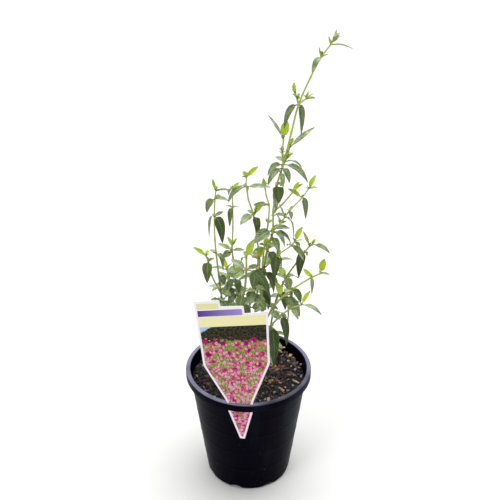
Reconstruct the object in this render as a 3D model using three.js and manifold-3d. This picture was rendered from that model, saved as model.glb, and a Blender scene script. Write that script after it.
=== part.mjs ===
// Potted agastache: a young many-stemmed herb in a round plastic nursery pot,
// with a stiff plastic plant label held in a slot of the pot's rim.
// Millimetres, +Z up. The origin is the centre of the pot's underside.

import * as THREE from "three";
import { mergeVertices } from "three/addons/utils/BufferGeometryUtils.js";
import Module from "manifold-3d";

const wasm = await Module();
wasm.setup();

// Driving dimensions of the pot
const POT_HEIGHT = 140;
const RIM_RADIUS = 70;
const WALL_TOP_RADIUS = 66;
const BASE_RADIUS = 48.5;
const WALL = 1.2;
const FLOOR = 1.8;
const RIM_THICK = 2.2;
const SKIRT_DEPTH = 9;
const SKIRT_THICK = 0.9;
const FOOT_BEVEL = 3;
const INNER_FOOT_BEVEL = 2;
const RIM_BEVEL = 0.6;
const SIDES = 36;
const DRAIN_COUNT = 8;
const DRAIN_WIDTH = 15;
const DRAIN_HEIGHT = 4.5;
const DRAIN_REACH = 12;
const DRAIN_SIDES = 8;
const DRAIN_TURN = 0.62;

// Driving dimensions of the label, which stands square to a radius of the pot
const LABEL_THICK = 0.7;
const LABEL_RADIUS = 66.85;
const LABEL_AZIMUTH = -97;
const LABEL_LEAN = 3.2;
const SLOT_WIDTH = 28.4;
const SLOT_SHIFT = -0.55;
const SLOT_GAP = 1.6;

// Driving dimensions of the potting mix
const SOIL_TOP = 127;
const SOIL_RELIEF = 1.3;
const SOIL_RINGS = [0.2, 0.42, 0.64, 0.84, 1];
const SOIL_FOOT_BEVEL = 4;
const CLEARANCE = 0.3;
const CHIP_COUNT = 14;
const CHIP_LENGTH = [4, 11];
const CHIP_WIDTH = [1.5, 4];
const CHIP_THICK = [1.2, 2.2];
const CHIP_REACH = [18, 53];
const CHIP_TILT = 0.4;
const CHIP_RISE = 0.6;
const HOLE_SIDES = 6;
const ROOT_DEPTH = 22;
const HOLE_SPARE = 2;
const HOLE_PLAY = 0.5;

// Driving dimensions of every leaf
const LEAF_THICK = 0.7;
const LEAF_FOLD = 0.3;
const PETIOLE_SHARE = 0.16;
const PETIOLE_WIDTH = 1.2;
const NOTCH_DEPTH = 0.2;
const OUTLINE_SKEW = 0.7;
const OUTLINE_BLUNT = 0.75;
const BEND_OUT = 0.5;
const BEND_DROOP = 0.45;
const BEND_LEAST = 0.25;
const BEND_RISE = 0.5;
const BEND_LIFT = 0.08;
const STEM_SIDES = 4;

const COLOURS = {
  pot: 0x17181b,
  potting_mix: 0x2e231b,
  plant_label: 0xe9e6ea,
  leaf: 0x6f8a52,
};

// Seeded generator for the lie of the chips and the lumps of the mix
function seeded(seed) {
  let state = seed;
  return () => {
    state = (state * 16807) % 2147483647;
    return state / 2147483647;
  };
}

function between(random, [low, high]) {
  return low + (high - low) * random();
}

function radians(degrees) {
  return (degrees * Math.PI) / 180;
}

// Solids and meshes
function solid(geometry) {
  const plain = geometry.index ? geometry : mergeVertices(geometry);
  plain.deleteAttribute("normal");
  plain.deleteAttribute("uv");
  const merged = mergeVertices(plain, 1e-4);
  return new wasm.Manifold(
    new wasm.Mesh({
      numProp: 3,
      vertProperties: new Float32Array(merged.attributes.position.array),
      triVerts: new Uint32Array(merged.index.array),
    }),
  );
}

function geometryOf(shape) {
  const mesh = shape.getMesh();
  const geometry = new THREE.BufferGeometry();
  geometry.setAttribute("position", new THREE.BufferAttribute(mesh.vertProperties, 3));
  geometry.setIndex(new THREE.BufferAttribute(mesh.triVerts, 1));
  return geometry;
}

function meshOf(name, shape, colour, roughness) {
  const material = new THREE.MeshStandardMaterial({ color: colour, roughness, metalness: 0 });
  const mesh = new THREE.Mesh(geometryOf(shape), material);
  mesh.name = name;
  return mesh;
}

// A closed body from points and triangles
function bodyOf(points, triangles) {
  const geometry = new THREE.BufferGeometry();
  geometry.setAttribute("position", new THREE.Float32BufferAttribute(points.flat(), 3));
  geometry.setIndex(triangles.flat());
  return solid(geometry);
}

// A body of revolution about Z from a closed list of [radius, height]
function turned(profile) {
  const points = profile.map(([radius, height]) => new THREE.Vector2(radius, height));
  return solid(new THREE.LatheGeometry(points, SIDES).rotateX(Math.PI / 2));
}

// The inside of the pot's tapered wall at a height
function innerRadius(height) {
  const rimUnderside = POT_HEIGHT - RIM_THICK;
  const slope = (WALL_TOP_RADIUS - BASE_RADIUS) / (rimUnderside - FOOT_BEVEL);
  return BASE_RADIUS - WALL + slope * (height - FOOT_BEVEL);
}

// Pot: a thin tapered wall with a flat floor, drain cut-outs round the bottom corner,
// and a flat rim that turns down into a skirt
function pot() {
  const skirtFoot = POT_HEIGHT - SKIRT_DEPTH;
  const rimUnderside = POT_HEIGHT - RIM_THICK;
  const cornerTop = FLOOR + INNER_FOOT_BEVEL;
  const shell = turned([
    [0, 0],
    [BASE_RADIUS - FOOT_BEVEL, 0],
    [BASE_RADIUS, FOOT_BEVEL],
    [WALL_TOP_RADIUS, rimUnderside],
    [RIM_RADIUS - SKIRT_THICK, rimUnderside],
    [RIM_RADIUS - SKIRT_THICK, skirtFoot],
    [RIM_RADIUS, skirtFoot],
    [RIM_RADIUS, POT_HEIGHT - RIM_BEVEL],
    [RIM_RADIUS - RIM_BEVEL, POT_HEIGHT],
    [innerRadius(POT_HEIGHT), POT_HEIGHT],
    [innerRadius(cornerTop), cornerTop],
    [innerRadius(cornerTop) - INNER_FOOT_BEVEL, FLOOR],
    [0, FLOOR],
  ]);
  const azimuth = radians(LABEL_AZIMUTH);
  const slot = new THREE.BoxGeometry(SLOT_GAP, SLOT_WIDTH, 3 * RIM_THICK)
    .translate(LABEL_RADIUS, SLOT_SHIFT, POT_HEIGHT)
    .rotateZ(azimuth);
  let body = shell.subtract(solid(slot));
  for (let i = 0; i < DRAIN_COUNT; i += 1) {
    const half = DRAIN_WIDTH / 2;
    const arch = new THREE.CylinderGeometry(half, half, DRAIN_REACH, DRAIN_SIDES)
      .rotateZ(Math.PI / 2)
      .scale(1, 1, DRAIN_HEIGHT / half)
      .translate(BASE_RADIUS, 0, 0)
      .rotateZ((2 * Math.PI * (i + DRAIN_TURN)) / DRAIN_COUNT);
    body = body.subtract(solid(arch));
  }
  return body;
}

// Label: a flat card with a stepped head, sloping shoulders and a pointed foot.
// Its outline is drawn flat, across by up, with the rim's slot at (0, 0).
function plantLabel() {
  const outline = new THREE.Shape();
  outline.moveTo(-3.5, -47);
  outline.lineTo(1.8, -47.5);
  outline.lineTo(12.8, -9);
  outline.lineTo(12.8, 1);
  outline.lineTo(33.3, 53);
  outline.lineTo(34, 115.2);
  outline.lineTo(10.9, 112);
  outline.lineTo(10.2, 120.8);
  outline.lineTo(-12.5, 119.4);
  outline.lineTo(-13.3, 126.6);
  outline.lineTo(-39, 124.7);
  outline.lineTo(-35.5, 48);
  outline.lineTo(-13.9, 1);
  outline.lineTo(-13.9, -9);
  outline.closePath();
  const card = new THREE.ExtrudeGeometry(outline, { depth: LABEL_THICK, bevelEnabled: false });
  card.translate(0, 0, -LABEL_THICK / 2);
  card.rotateZ(radians(LABEL_LEAN));
  card.rotateX(Math.PI / 2);
  card.rotateZ(Math.PI / 2);
  card.translate(LABEL_RADIUS, 0, POT_HEIGHT);
  card.rotateZ(radians(LABEL_AZIMUTH));
  return solid(card);
}

// Leaf: a thin blade on a short petiole, folded a little along the midrib, with toothed
// edges. tip is the reach from the stem. turn rolls the upper face towards the front.
function leafHalfWidth(share) {
  return Math.sin(Math.PI * share ** OUTLINE_SKEW) ** OUTLINE_BLUNT;
}

function leafCurve(base, tip) {
  const flat = Math.hypot(tip.x, tip.y);
  const length = tip.length();
  const droop = Math.max(-tip.z, 0) / length;
  const out = Math.max((BEND_OUT + BEND_DROOP * droop ** 2) * flat, BEND_LEAST * length) / flat;
  const rise = Math.max(BEND_RISE * tip.z, 0) + BEND_LIFT * length;
  const control = base.clone().add(new THREE.Vector3(tip.x * out, tip.y * out, rise));
  return new THREE.QuadraticBezierCurve3(base.clone(), control, base.clone().add(tip));
}

function leafFrame(curve, tip, turn, t) {
  const centre = curve.getPoint(t);
  const along = curve.getTangent(t);
  const side = new THREE.Vector3(tip.y, -tip.x, 0).normalize();
  side.applyAxisAngle(along, -radians(turn) * (tip.x < 0 ? 1 : -1));
  const up = new THREE.Vector3().crossVectors(side, along).normalize();
  return { centre, side, up };
}

// Points along each edge and along the midrib, fewer on smaller leaves
function leafDetail(width) {
  if (width >= 10.5) return { edge: 5, ribs: [0.1, 0.6], toothed: true };
  if (width >= 7.5) return { edge: 3, ribs: [0.4], toothed: true };
  if (width >= 5) return { edge: 2, ribs: [0.5], toothed: false };
  return { edge: 1, ribs: [], toothed: false };
}

function leaf(base, tip, width, turn) {
  const curve = leafCurve(base, tip);
  const { edge, ribs, toothed } = leafDetail(width);
  const points = [];
  const add = (share, across, lift) => {
    const { centre, side, up } = leafFrame(curve, tip, turn, share);
    centre.addScaledVector(side, across).addScaledVector(up, lift);
    points.push(centre.clone().addScaledVector(up, LEAF_THICK / 2).toArray());
    points.push(centre.clone().addScaledVector(up, -LEAF_THICK / 2).toArray());
    return { share, at: points.length / 2 - 1 };
  };
  const blade = (q) => PETIOLE_SHARE + (1 - PETIOLE_SHARE) * q;
  const edgeChain = (sign) => {
    const chain = [add(0, (sign * PETIOLE_WIDTH) / 2, 0)];
    if (toothed) chain.push(add(PETIOLE_SHARE, (sign * PETIOLE_WIDTH) / 2, 0));
    for (let k = 1; k <= edge; k += 1) {
      const q = k / (edge + 1);
      const notch = toothed && k % 2 === 0 ? 1 - NOTCH_DEPTH : 1;
      const half = (width / 2) * leafHalfWidth(q) * notch;
      chain.push(add(blade(q), sign * half, half * LEAF_FOLD));
    }
    return chain;
  };
  const left = edgeChain(1);
  const right = edgeChain(-1);
  const middle = ribs.map((q) => add(blade(q), 0, 0));
  const end = add(1, 0, 0);
  const inner = [...middle, end];
  const faces = [
    [left[0], left[1], right[0]],
    [left[1], right[1], right[0]],
    [left[1], inner[0], right[1]],
  ];
  for (const [chain, isLeft] of [[[...left, end], true], [[...right, end], false]]) {
    let i = 1;
    let j = 0;
    while (i < chain.length - 1 && inner[j] !== chain[i]) {
      const stepInner = j < middle.length - 1 && inner[j + 1].share < chain[i + 1].share;
      const third = stepInner ? inner[j + 1] : chain[i + 1];
      if (third !== inner[j]) {
        faces.push(isLeft ? [chain[i], third, inner[j]] : [inner[j], third, chain[i]]);
      }
      if (stepInner) j += 1;
      else i += 1;
    }
  }
  const triangles = [];
  for (const [a, b, c] of faces) {
    triangles.push([2 * a.at, 2 * b.at, 2 * c.at]);
    triangles.push([2 * a.at + 1, 2 * c.at + 1, 2 * b.at + 1]);
  }
  const border = [...left, end, ...right.reverse()];
  border.forEach(({ at }, n) => {
    const next = border[(n + 1) % border.length].at;
    triangles.push([2 * at, 2 * at + 1, 2 * next]);
    triangles.push([2 * next, 2 * at + 1, 2 * next + 1]);
  });
  return bodyOf(points, triangles);
}

// Stem: a tapered square rod along a smooth line through its nodes
function rod(centres, radii) {
  const points = [];
  const triangles = [];
  centres.forEach((centre, n) => {
    const before = centres[Math.max(n - 1, 0)];
    const after = centres[Math.min(n + 1, centres.length - 1)];
    const along = after.clone().sub(before).normalize();
    const across = new THREE.Vector3(0, 1, 0).cross(along).normalize();
    const deep = along.clone().cross(across);
    for (let s = 0; s < STEM_SIDES; s += 1) {
      const angle = (2 * Math.PI * s) / STEM_SIDES;
      const point = centre.clone();
      point.addScaledVector(across, radii[n] * Math.cos(angle));
      point.addScaledVector(deep, radii[n] * Math.sin(angle));
      points.push(point.toArray());
    }
  });
  for (let n = 0; n < centres.length - 1; n += 1) {
    for (let s = 0; s < STEM_SIDES; s += 1) {
      const a = n * STEM_SIDES + s;
      const b = n * STEM_SIDES + ((s + 1) % STEM_SIDES);
      triangles.push([a, b, b + STEM_SIDES], [a, b + STEM_SIDES, a + STEM_SIDES]);
    }
  }
  const last = (centres.length - 1) * STEM_SIDES;
  for (let s = 1; s < STEM_SIDES - 1; s += 1) {
    triangles.push([0, s + 1, s]);
    triangles.push([last, last + s, last + s + 1]);
  }
  return bodyOf(points, triangles);
}

function shootBody(shoot) {
  const nodes = shoot.path.map((p) => new THREE.Vector3(...p));
  const curve = new THREE.CatmullRomCurve3(nodes, false, "centripetal");
  const steps = nodes.length - 1;
  const centres = [];
  const radii = [];
  if (shoot.rooted) {
    centres.push(nodes[0].clone().setZ(nodes[0].z - ROOT_DEPTH));
    radii.push(shoot.radius[0]);
  }
  for (let n = 0; n <= steps; n += 1) {
    const t = n / steps;
    centres.push(curve.getPoint(t));
    radii.push(shoot.radius[0] + (shoot.radius[1] - shoot.radius[0]) * t);
  }
  let body = rod(centres, radii);
  for (const [node, x, y, z, width, turn = 0] of shoot.leaves) {
    const base = curve.getPoint(node / steps);
    body = body.add(leaf(base, new THREE.Vector3(x, y, z), width, turn));
  }
  for (const [node, azimuth, length, width, rise] of shoot.lower ?? []) {
    const tip = new THREE.Vector3(length, 0, 0);
    tip.applyAxisAngle(new THREE.Vector3(0, 1, 0), -radians(rise));
    tip.applyAxisAngle(new THREE.Vector3(0, 0, 1), radians(azimuth));
    body = body.add(leaf(curve.getPoint(node / steps), tip, width, 0));
  }
  return body;
}

// Leafy stems. A path lists the stem's nodes from below. A leaf row is
// [node, reach x, reach y, reach z, width, turn]. A row of the lower leaves, which the
// crowded foot of the plant keeps on its outer side only, is
// [node, azimuth, length, width, rise].
const MAIN = { rooted: true };
const SIDE = { rooted: false };

const STEMS = {
  tall_stem: [
    {
      ...MAIN,
      radius: [2, 0.75],
      path: [
        [10, 6, 129], [13, 6, 175], [15, 5, 223], [16, 3, 263], [20, 2, 287], [25, 0, 309],
        [25, 0, 331], [28, -2, 360], [34, -3, 383], [41, -4, 416], [47, -5, 444], [57, -6, 470],
        [66, -7, 489], [74, -8, 501], [77, -8, 506],
      ],
      leaves: [
        [3.1, -4, -14, -19, 10.5, 0], [3.9, 10, -14, -14, 9, 20], [4, -15, -9, 2, 7.5, 20],
        [4, 12, 11, 2, 6.5, 0], [5, -19, -10, -9, 12, 35], [5, 12, -8, -14, 6.5, 10],
        [4.7, 7, -18, -10, 8, 0], [5.1, 18, 9, -4, 7, 20], [4.9, 20, 4, -17, 7.5, 20],
        [5.8, 18, 9, -11, 5.5, 20], [7, 2, -11, -14, 11.5, 0], [6.88, 0, -9, -21, 7, 0],
        [7, 5, 17, -8, 7.5, 0], [8, -15, 2, -13, 7.5, 30], [7.85, -14, -12, -13, 7, 20],
        [8.1, -8, 9, 2, 5, 20], [7.85, 7, -9, -12, 6.5, 20], [8, 24, -8, -16, 8, 20],
        [8.1, 18, 8, -10, 6.5, -20], [7.65, 2, -15, -10, 5.5, 0], [10, -13, -5, -22, 6, 60],
        [10, 3, -3, -29, 6, 60], [12, -6, -10, -6, 6.5, 0], [12, -2, 2, 9, 2.5, 0],
        [12, 7, 4, 2, 2.5, 0], [12, -8, -5, -14, 4, 40], [13, 20, -4, -3, 2.5, 20],
        [13, -2, 2, 7, 2.5, 0], [14, 5, -2, 6, 3.5, 30], [14, 2, 2, 8, 2.5, 0],
        [14, 3, -3, 4, 3.5, 0], [8.2, -6, -4, 10, 4, 0], [8.3, 5, -8, 7, 4, 0],
        [8.1, 9, 2, 9, 3.5, 20], [2.3, 6, -8, -20, 9.5, 0], [1.9, 17, -9, -2, 9.5, 0],
        [2.9, 11, -9, -21, 10, 0],
      ],
      lower: [
        [2, 200, 26, 9, -5], [2.8, 190, 28, 9.5, -10], [1.3, -35, 26, 9.5, -20],
        [3.2, 20, 22, 8.5, -20],
      ],
    },
    {
      ...SIDE,
      radius: [1.15, 0.8],
      path: [[25, 0, 309], [32, -2, 318], [41, -5, 334], [53, -8, 350], [59, -9, 360]],
      leaves: [
        [1.5, -6, -6, 19, 6.5, 20], [1, 7, 5, 1, 3, 20], [1.1, -6, -4, 14, 4.5, 0],
        [2, 2, -5, -7, 4.5, 0], [3, -14, 4, 8, 5, 30], [3, 4, -3, -22, 6, 60], [4, 7, 4, 13, 5, 30],
        [4, 8, -6, 4, 4, 20], [1.5, 10, 3, -25, 6, 0],
      ],
    },
    {
      ...SIDE,
      radius: [1.15, 0.8],
      path: [[25, 0, 331], [34, 6, 336], [45, 12, 347]],
      leaves: [[2, 10, -4, 11, 5, 30], [2, 7, 6, 9, 5, 0], [2, 5, 8, -9, 4, 0]],
    },
    {
      ...SIDE,
      radius: [1.15, 0.8],
      path: [[34, -3, 383], [33, -1, 395], [34, 1, 408]],
      leaves: [[2, -15, 6, 22, 4, 20], [2, 3, 7, 17, 9, 0], [1, -3, -6, 7, 3.5, 0]],
    },
    {
      ...SIDE,
      radius: [1.15, 0.8],
      path: [[34, -3, 383], [38, 3, 390], [40, 5, 397]],
      leaves: [[2, 25, 10, 18, 5.5, 30], [2, 3, -6, 13, 5.5, 0], [1, 7, 6, -1, 3.5, 0]],
    },
    {
      ...SIDE,
      radius: [1.15, 0.8],
      path: [[47, -5, 444], [46, -2, 448], [44, 0, 452]],
      leaves: [[1, -5, -4, 7, 4.5, 30], [1, 1, 4, 3, 4, 30], [2, -1, 3, 11, 5, 60]],
    },
    {
      ...SIDE,
      radius: [1.15, 0.8],
      path: [[47, -5, 444], [51, -8, 449], [54, -9, 451]],
      leaves: [[2, 8, -4, 2, 3.5, 30], [2, 2, 2, 7, 2.5, 0], [2, 7, 4, 4, 2.5, 0]],
    },
    {
      ...SIDE,
      radius: [1.15, 0.8],
      path: [[16, 3, 263], [23, -3, 274], [30, -6, 284], [43, -8, 296], [47, -8, 301]],
      leaves: [
        [2, -3, -13, -20, 10.5, 0], [2, 4, 6, -21, 6.5, 40], [3, 13, -8, -13, 7.5, 20],
        [3, -3, 11, -6, 4, 0], [4, 8, 4, 15, 6.5, 20], [4, 8, -6, 5, 3.5, 0], [4, 5, -8, -3, 5, 0],
      ],
    },
    {
      ...SIDE,
      radius: [1.15, 0.8],
      path: [[20, 2, 287], [19, -2, 291], [18, -5, 295]],
      leaves: [[2, 1, -5, 11, 6.5, 0], [2, 8, -4, 4, 5, 20], [2, -7, -3, 3, 4.5, 20]],
    },
  ],
  slender_stem: [
    {
      ...MAIN,
      radius: [1.4, 0.85],
      path: [
        [13, 15, 129], [15, 14, 180], [16, 13, 230], [15, 12, 262], [17, 9, 288], [20, 8, 312],
        [21, 8, 334], [18, 9, 345], [17, 9, 352], [16, 9, 356],
      ],
      leaves: [
        [6, -16, 5, -2, 5.5, 40], [9, -2, -7, 6, 4, 0], [9, -1, 4, 6, 3.5, 0], [9, 5, 7, -2, 4, 0],
        [2.7, 17, -8, -17, 9, 0],
      ],
      lower: [[2, 45, 26, 9.5, -10], [3, 60, 26, 9.5, 0], [5, 80, 24, 9, -15]],
    },
  ],
  left_stem: [
    {
      ...MAIN,
      radius: [1.6, 0.85],
      path: [
        [-10, 3, 129], [-18, 2, 165], [-24, 0, 197], [-28, -2, 227], [-31, -4, 259], [-33, -6, 286],
        [-34, -6, 302], [-34, -7, 329], [-33, -7, 348], [-32, -7, 357],
      ],
      leaves: [
        [3, -12, -4, -12, 5.5, 30], [3, -8, 8, -17, 5, 0], [3, -3, -8, -10, 5.5, 0],
        [3, 7, -10, -7, 8, 0], [3.3, 12, -3, -2, 8, 20], [4, 6, -6, -8, 8, 20],
        [4, 4, 12, -4, 8, 0], [5, 9, -6, -6, 5.5, 20], [5, 7, -5, -18, 5.5, 0],
        [5, -7, 10, -1, 5.5, 0], [7, -6, 6, -27, 4.5, 0], [7, 8, -9, -26, 10, 30],
        [7, 9, 7, 2, 4, 30], [8, -8, -6, -12, 8, 20], [8, 14, 5, -5, 6, 20], [8, 5, 10, 0, 5, 0],
        [9, -3, 2, 12, 3.5, 20], [9, 1, -4, 7, 3.5, 0], [9, 15, 5, -2, 4, 10],
        [3.6, 5, -6, 5, 5.5, 0], [3, -12, -8, 5, 7.5, 0], [3.1, 1, -10, 2, 8, 0],
      ],
      lower: [
        [1, 175, 22, 8, -10], [2, 195, 26, 9, -15], [2, 85, 22, 8, -5], [3.4, 130, 24, 8, -15],
        [1.5, 140, 24, 9, -25],
      ],
    },
    {
      ...SIDE,
      radius: [1.15, 0.8],
      path: [[-29, -3, 236], [-38, -12, 264], [-41, -14, 281], [-43, -15, 288]],
      leaves: [
        [2, -1, -9, -20, 10.5, 0], [2, 6, 6, 1, 5, 0], [3, -13, 4, 8, 5.5, 20],
        [3, -4, -6, 8, 4, 0], [3, 2, 6, 4, 4, 0],
      ],
    },
  ],
  mid_left_stem: [
    {
      ...MAIN,
      radius: [1.4, 0.85],
      path: [
        [-4, 12, 129], [-7, 11, 175], [-11, 9, 221], [-14, 8, 248], [-16, 8, 272], [-17, 9, 282],
        [-16, 10, 307], [-16, 12, 330], [-16, 12, 344], [-16, 12, 350],
      ],
      leaves: [
        [2.5, -12, -8, -6, 9, 20], [2.6, 4, -12, -6, 9, 0], [3, -8, -8, -14, 9, 0],
        [3, 4, -9, -13, 8, 0], [3, -8, 7, 3, 5.5, 20], [5, -15, 3, 6, 5.5, 30],
        [5, 13, -6, 3, 5, 20], [4.8, -10, -6, -4, 8, 30], [5.2, -5, 9, 7, 4, 0],
        [5.2, 5, 5, 7, 4, 0], [7, -8, 6, -1, 3.5, 0], [7, 7, 4, -2, 3.5, 0], [7, -3, -7, -19, 6, 0],
        [9, 7, 4, 6, 4, 30], [9, -2, -4, 5, 4, 0], [9, -4, 6, -9, 5, 0],
        [2.7, -15, -2, -11, 8.5, 20], [2.7, 7, 7, -15, 8.5, 20], [2.3, -9, -13, -9, 9.5, 0],
        [2.2, 6, -8, -11, 8.5, 0],
      ],
      lower: [[1, 150, 24, 8, -10], [2, 130, 26, 9, -10], [3.2, 110, 22, 8, -15]],
    },
  ],
  mid_stem: [
    {
      ...MAIN,
      radius: [1.5, 0.85],
      path: [
        [3, 18, 129], [6, 20, 180], [10, 20, 230], [12, 17, 265], [9, 14, 292], [5, 8, 324],
        [0, 4, 343], [-1, 3, 351], [-2, 3, 357], [-2, 3, 367],
      ],
      leaves: [
        [5, -13, -14, -5, 9, 20], [4.9, 4, -8, -17, 8.5, 0], [5, 11, 10, 10, 6.5, 30],
        [5, -6, 6, 2, 5.5, 0], [8, -18, -7, -14, 7.5, 20], [8, 24, -4, 1, 6.5, 20],
        [8, -8, 10, -8, 5.5, 0], [9, 12, 4, 10, 5.5, 30], [9, -2, -6, 9, 6.5, 0],
        [9, -3, 4, 3, 4, 0], [8, 1, 6, -10, 4, 0], [2.1, 3, 3, -33, 9.5, 0],
        [2.6, -5, -10, -22, 9, 0],
      ],
      lower: [
        [2, 95, 26, 9.5, -10], [3, 120, 28, 9.5, -5], [4, 60, 24, 9, 0], [1.3, 70, 26, 9.5, -20],
      ],
    },
  ],
  front_stem: [
    {
      ...MAIN,
      radius: [2.2, 1.3],
      path: [
        [-1, -8, 129], [-5, -12, 185], [-8, -18, 233], [-4, -20, 251], [-2, -22, 276],
        [-2, -24, 291],
      ],
      leaves: [
        [2, 9, -12, -12, 9.5, 0], [2, -14, -10, -9, 9.5, 20], [2.6, -3, -15, -10, 10.5, 0],
        [4, -13, -7, -7, 12, 20], [4, -16, 14, 4, 7.5, 30], [4, 24, -12, -28, 9.5, 20],
        [4, 14, 10, -1, 6.5, 20], [5, -2, -6, 11, 5, 0], [5, 8, 8, 17, 8, 20], [5, -5, 6, -8, 5, 0],
        [2.9, 12, -8, 5, 10, 0], [2.4, 4, -8, 0, 8.5, 0],
      ],
      lower: [[0.9, -110, 24, 9, -10], [1, 190, 22, 8, -5]],
    },
    {
      ...SIDE,
      radius: [1.6, 1.1],
      path: [[-5, -12, 185], [0, -15, 220], [4, -16, 248], [9, -14, 269], [10, -14, 284]],
      leaves: [
        [1, 10, -14, -10, 9.5, 0], [3, -4, -13, -13, 11, 0], [2, -2, -14, -9, 10.5, 0],
        [2.2, 12, -6, 0, 8, 0], [1.8, 15, -18, -8, 10.5, 20], [4, -6, -8, 6, 5, 0],
        [4, 5, 6, 11, 8, 0], [4, -6, 2, 8, 5, 0], [1.2, 21, -6, 7, 9.5, 30],
      ],
    },
  ],
  right_low_stem: [
    {
      ...MAIN,
      radius: [1.6, 0.85],
      path: [
        [12, -4, 129], [14, -9, 170], [16, -12, 196], [23, -16, 221], [35, -20, 242],
        [44, -22, 252], [64, -24, 268], [73, -24, 273],
      ],
      leaves: [
        [3, 10, -10, -3, 8, 20], [4, 18, -12, -16, 11, 25], [4, -7, 8, 14, 8.5, 0],
        [4, 8, -6, 7, 5, 20], [4, 7, 6, -34, 8, 20], [5, -7, -10, 3, 9, 0], [5, 10, -4, -14, 8, 30],
        [5, 10, 5, -6, 5, 0], [6, -8, 6, 7, 5, 30], [6, 1, -3, -18, 4, 20], [7, 4, 4, 15, 7.5, 20],
        [7, 9, -6, 2, 3.5, 20],
      ],
      lower: [[1, 0, 24, 9, -15], [1.6, -20, 24, 9, -20]],
    },
  ],
  right_stem: [
    {
      ...MAIN,
      radius: [1.5, 0.85],
      path: [
        [18, 6, 129], [23, 8, 175], [30, 8, 221], [40, 10, 248], [52, 10, 268], [59, 10, 279],
        [64, 10, 286], [67, 10, 288],
      ],
      leaves: [
        [3, 4, -15, -5, 9.5, 0], [3, -9, 10, 8, 9, 0], [3, 14, 12, -8, 9, 0],
        [5, -6, -9, -26, 9.5, 20], [5, 3, 5, -8, 4, 0], [6, -7, 5, 15, 3.5, 30],
        [7, 18, -5, -8, 5.5, 30], [7, 3, 5, 4, 3.5, 0], [2.4, 6, -11, -18, 9.5, 0],
        [2.7, 10, -6, -21, 8.5, 0],
      ],
      lower: [[1, 20, 24, 9, -15], [2, 5, 26, 9.5, -10], [1.5, 60, 26, 9.5, -20]],
    },
  ],
  right_front_stem: [
    {
      ...MAIN,
      radius: [1.5, 0.85],
      path: [
        [15, -11, 129], [18, -17, 170], [23, -26, 208], [32, -30, 224], [43, -33, 236],
        [54, -36, 243],
      ],
      leaves: [
        [2, 4, -8, -46, 11.5, 10], [1.8, -7, -9, -18, 9, 0], [3, 8, -6, -32, 9, 30],
        [3, 10, 8, -10, 8, 20], [4, 8, -8, -8, 5.5, 20], [5, 9, 3, 15, 5.5, 20],
        [5, 21, -5, -10, 5.5, 20],
      ],
      lower: [[1, -60, 22, 8, -20]],
    },
  ],
  back_left_stem: [
    {
      ...MAIN,
      radius: [1.5, 0.85],
      path: [[-7, 18, 129], [-11, 25, 168], [-16, 32, 200], [-21, 38, 226], [-24, 41, 240]],
      leaves: [[4, -4, 6, 12, 5.5, 0], [4, 6, -4, 11, 5.5, 0]],
      lower: [
        [1, 200, 26, 9, -20], [1, 110, 24, 9, -15], [2, 170, 30, 10.5, -15], [2, 60, 28, 9.5, -20],
        [3, 110, 28, 9.5, -10], [3, 215, 24, 9, -10], [4, 160, 20, 7, -5], [4, 20, 20, 7, 0],
        [0.6, 90, 26, 9.5, -20], [3.5, 80, 22, 8, -10],
      ],
    },
  ],
  back_right_stem: [
    {
      ...MAIN,
      radius: [1.5, 0.85],
      path: [[9, 24, 129], [14, 31, 170], [20, 38, 206], [27, 43, 234], [31, 46, 248]],
      leaves: [[4, 5, 5, 12, 5.5, 0], [4, -5, -4, 11, 5.5, 0]],
      lower: [
        [1, 70, 26, 9, -20], [2, 10, 30, 10.5, -15], [2, 120, 28, 9.5, -10], [3, 60, 28, 9.5, -15],
        [3, -30, 26, 9, -10], [4, 150, 20, 7, 0], [4, 20, 20, 7, -5], [0.6, 115, 26, 9.5, -15],
        [3.5, 100, 22, 8, -10],
      ],
    },
  ],
};

// Potting mix: it fills the pot to below the rim, lumpy on top, with bark chips in it
// and a plain hole for each stem
function mound(random) {
  const foot = FLOOR + CLEARANCE;
  const cornerTop = foot + SOIL_FOOT_BEVEL;
  const edge = innerRadius(SOIL_TOP) - CLEARANCE;
  const points = [[0, 0, foot], [0, 0, SOIL_TOP]];
  const addRing = (radius, heights) => {
    heights.forEach((height, s) => {
      const angle = (2 * Math.PI * s) / SIDES;
      points.push([radius * Math.cos(angle), radius * Math.sin(angle), height]);
    });
  };
  const level = (height) => Array.from({ length: SIDES }, () => height);
  const lumpy = () => level(SOIL_TOP).map((z) => z + between(random, [-SOIL_RELIEF, SOIL_RELIEF]));
  addRing(innerRadius(foot) - SOIL_FOOT_BEVEL, level(foot));
  addRing(innerRadius(cornerTop) - CLEARANCE, level(cornerTop));
  for (const share of [...SOIL_RINGS].reverse()) {
    addRing(edge * share, share === 1 ? level(SOIL_TOP) : lumpy());
  }
  const ringStart = (n) => 2 + n * SIDES;
  const lastRing = 1 + SOIL_RINGS.length;
  const triangles = [];
  for (let s = 0; s < SIDES; s += 1) {
    const next = (s + 1) % SIDES;
    triangles.push([0, ringStart(0) + next, ringStart(0) + s]);
    for (let n = 0; n < lastRing; n += 1) {
      const a = ringStart(n) + s;
      const b = ringStart(n) + next;
      triangles.push([a, b, b + SIDES], [a, b + SIDES, a + SIDES]);
    }
    triangles.push([1, ringStart(lastRing) + s, ringStart(lastRing) + next]);
  }
  return bodyOf(points, triangles);
}

function chip(random) {
  const sizes = [CHIP_LENGTH, CHIP_WIDTH, CHIP_THICK].map((range) => between(random, range));
  const tilt = () => between(random, [-CHIP_TILT, CHIP_TILT]);
  const reach = CHIP_REACH[0] + (CHIP_REACH[1] - CHIP_REACH[0]) * Math.sqrt(random());
  const azimuth = 2 * Math.PI * random();
  const box = new THREE.BoxGeometry(...sizes)
    .rotateX(tilt())
    .rotateY(tilt())
    .rotateZ(2 * Math.PI * random())
    .translate(reach * Math.cos(azimuth), reach * Math.sin(azimuth), SOIL_TOP + CHIP_RISE);
  return solid(box);
}

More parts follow.
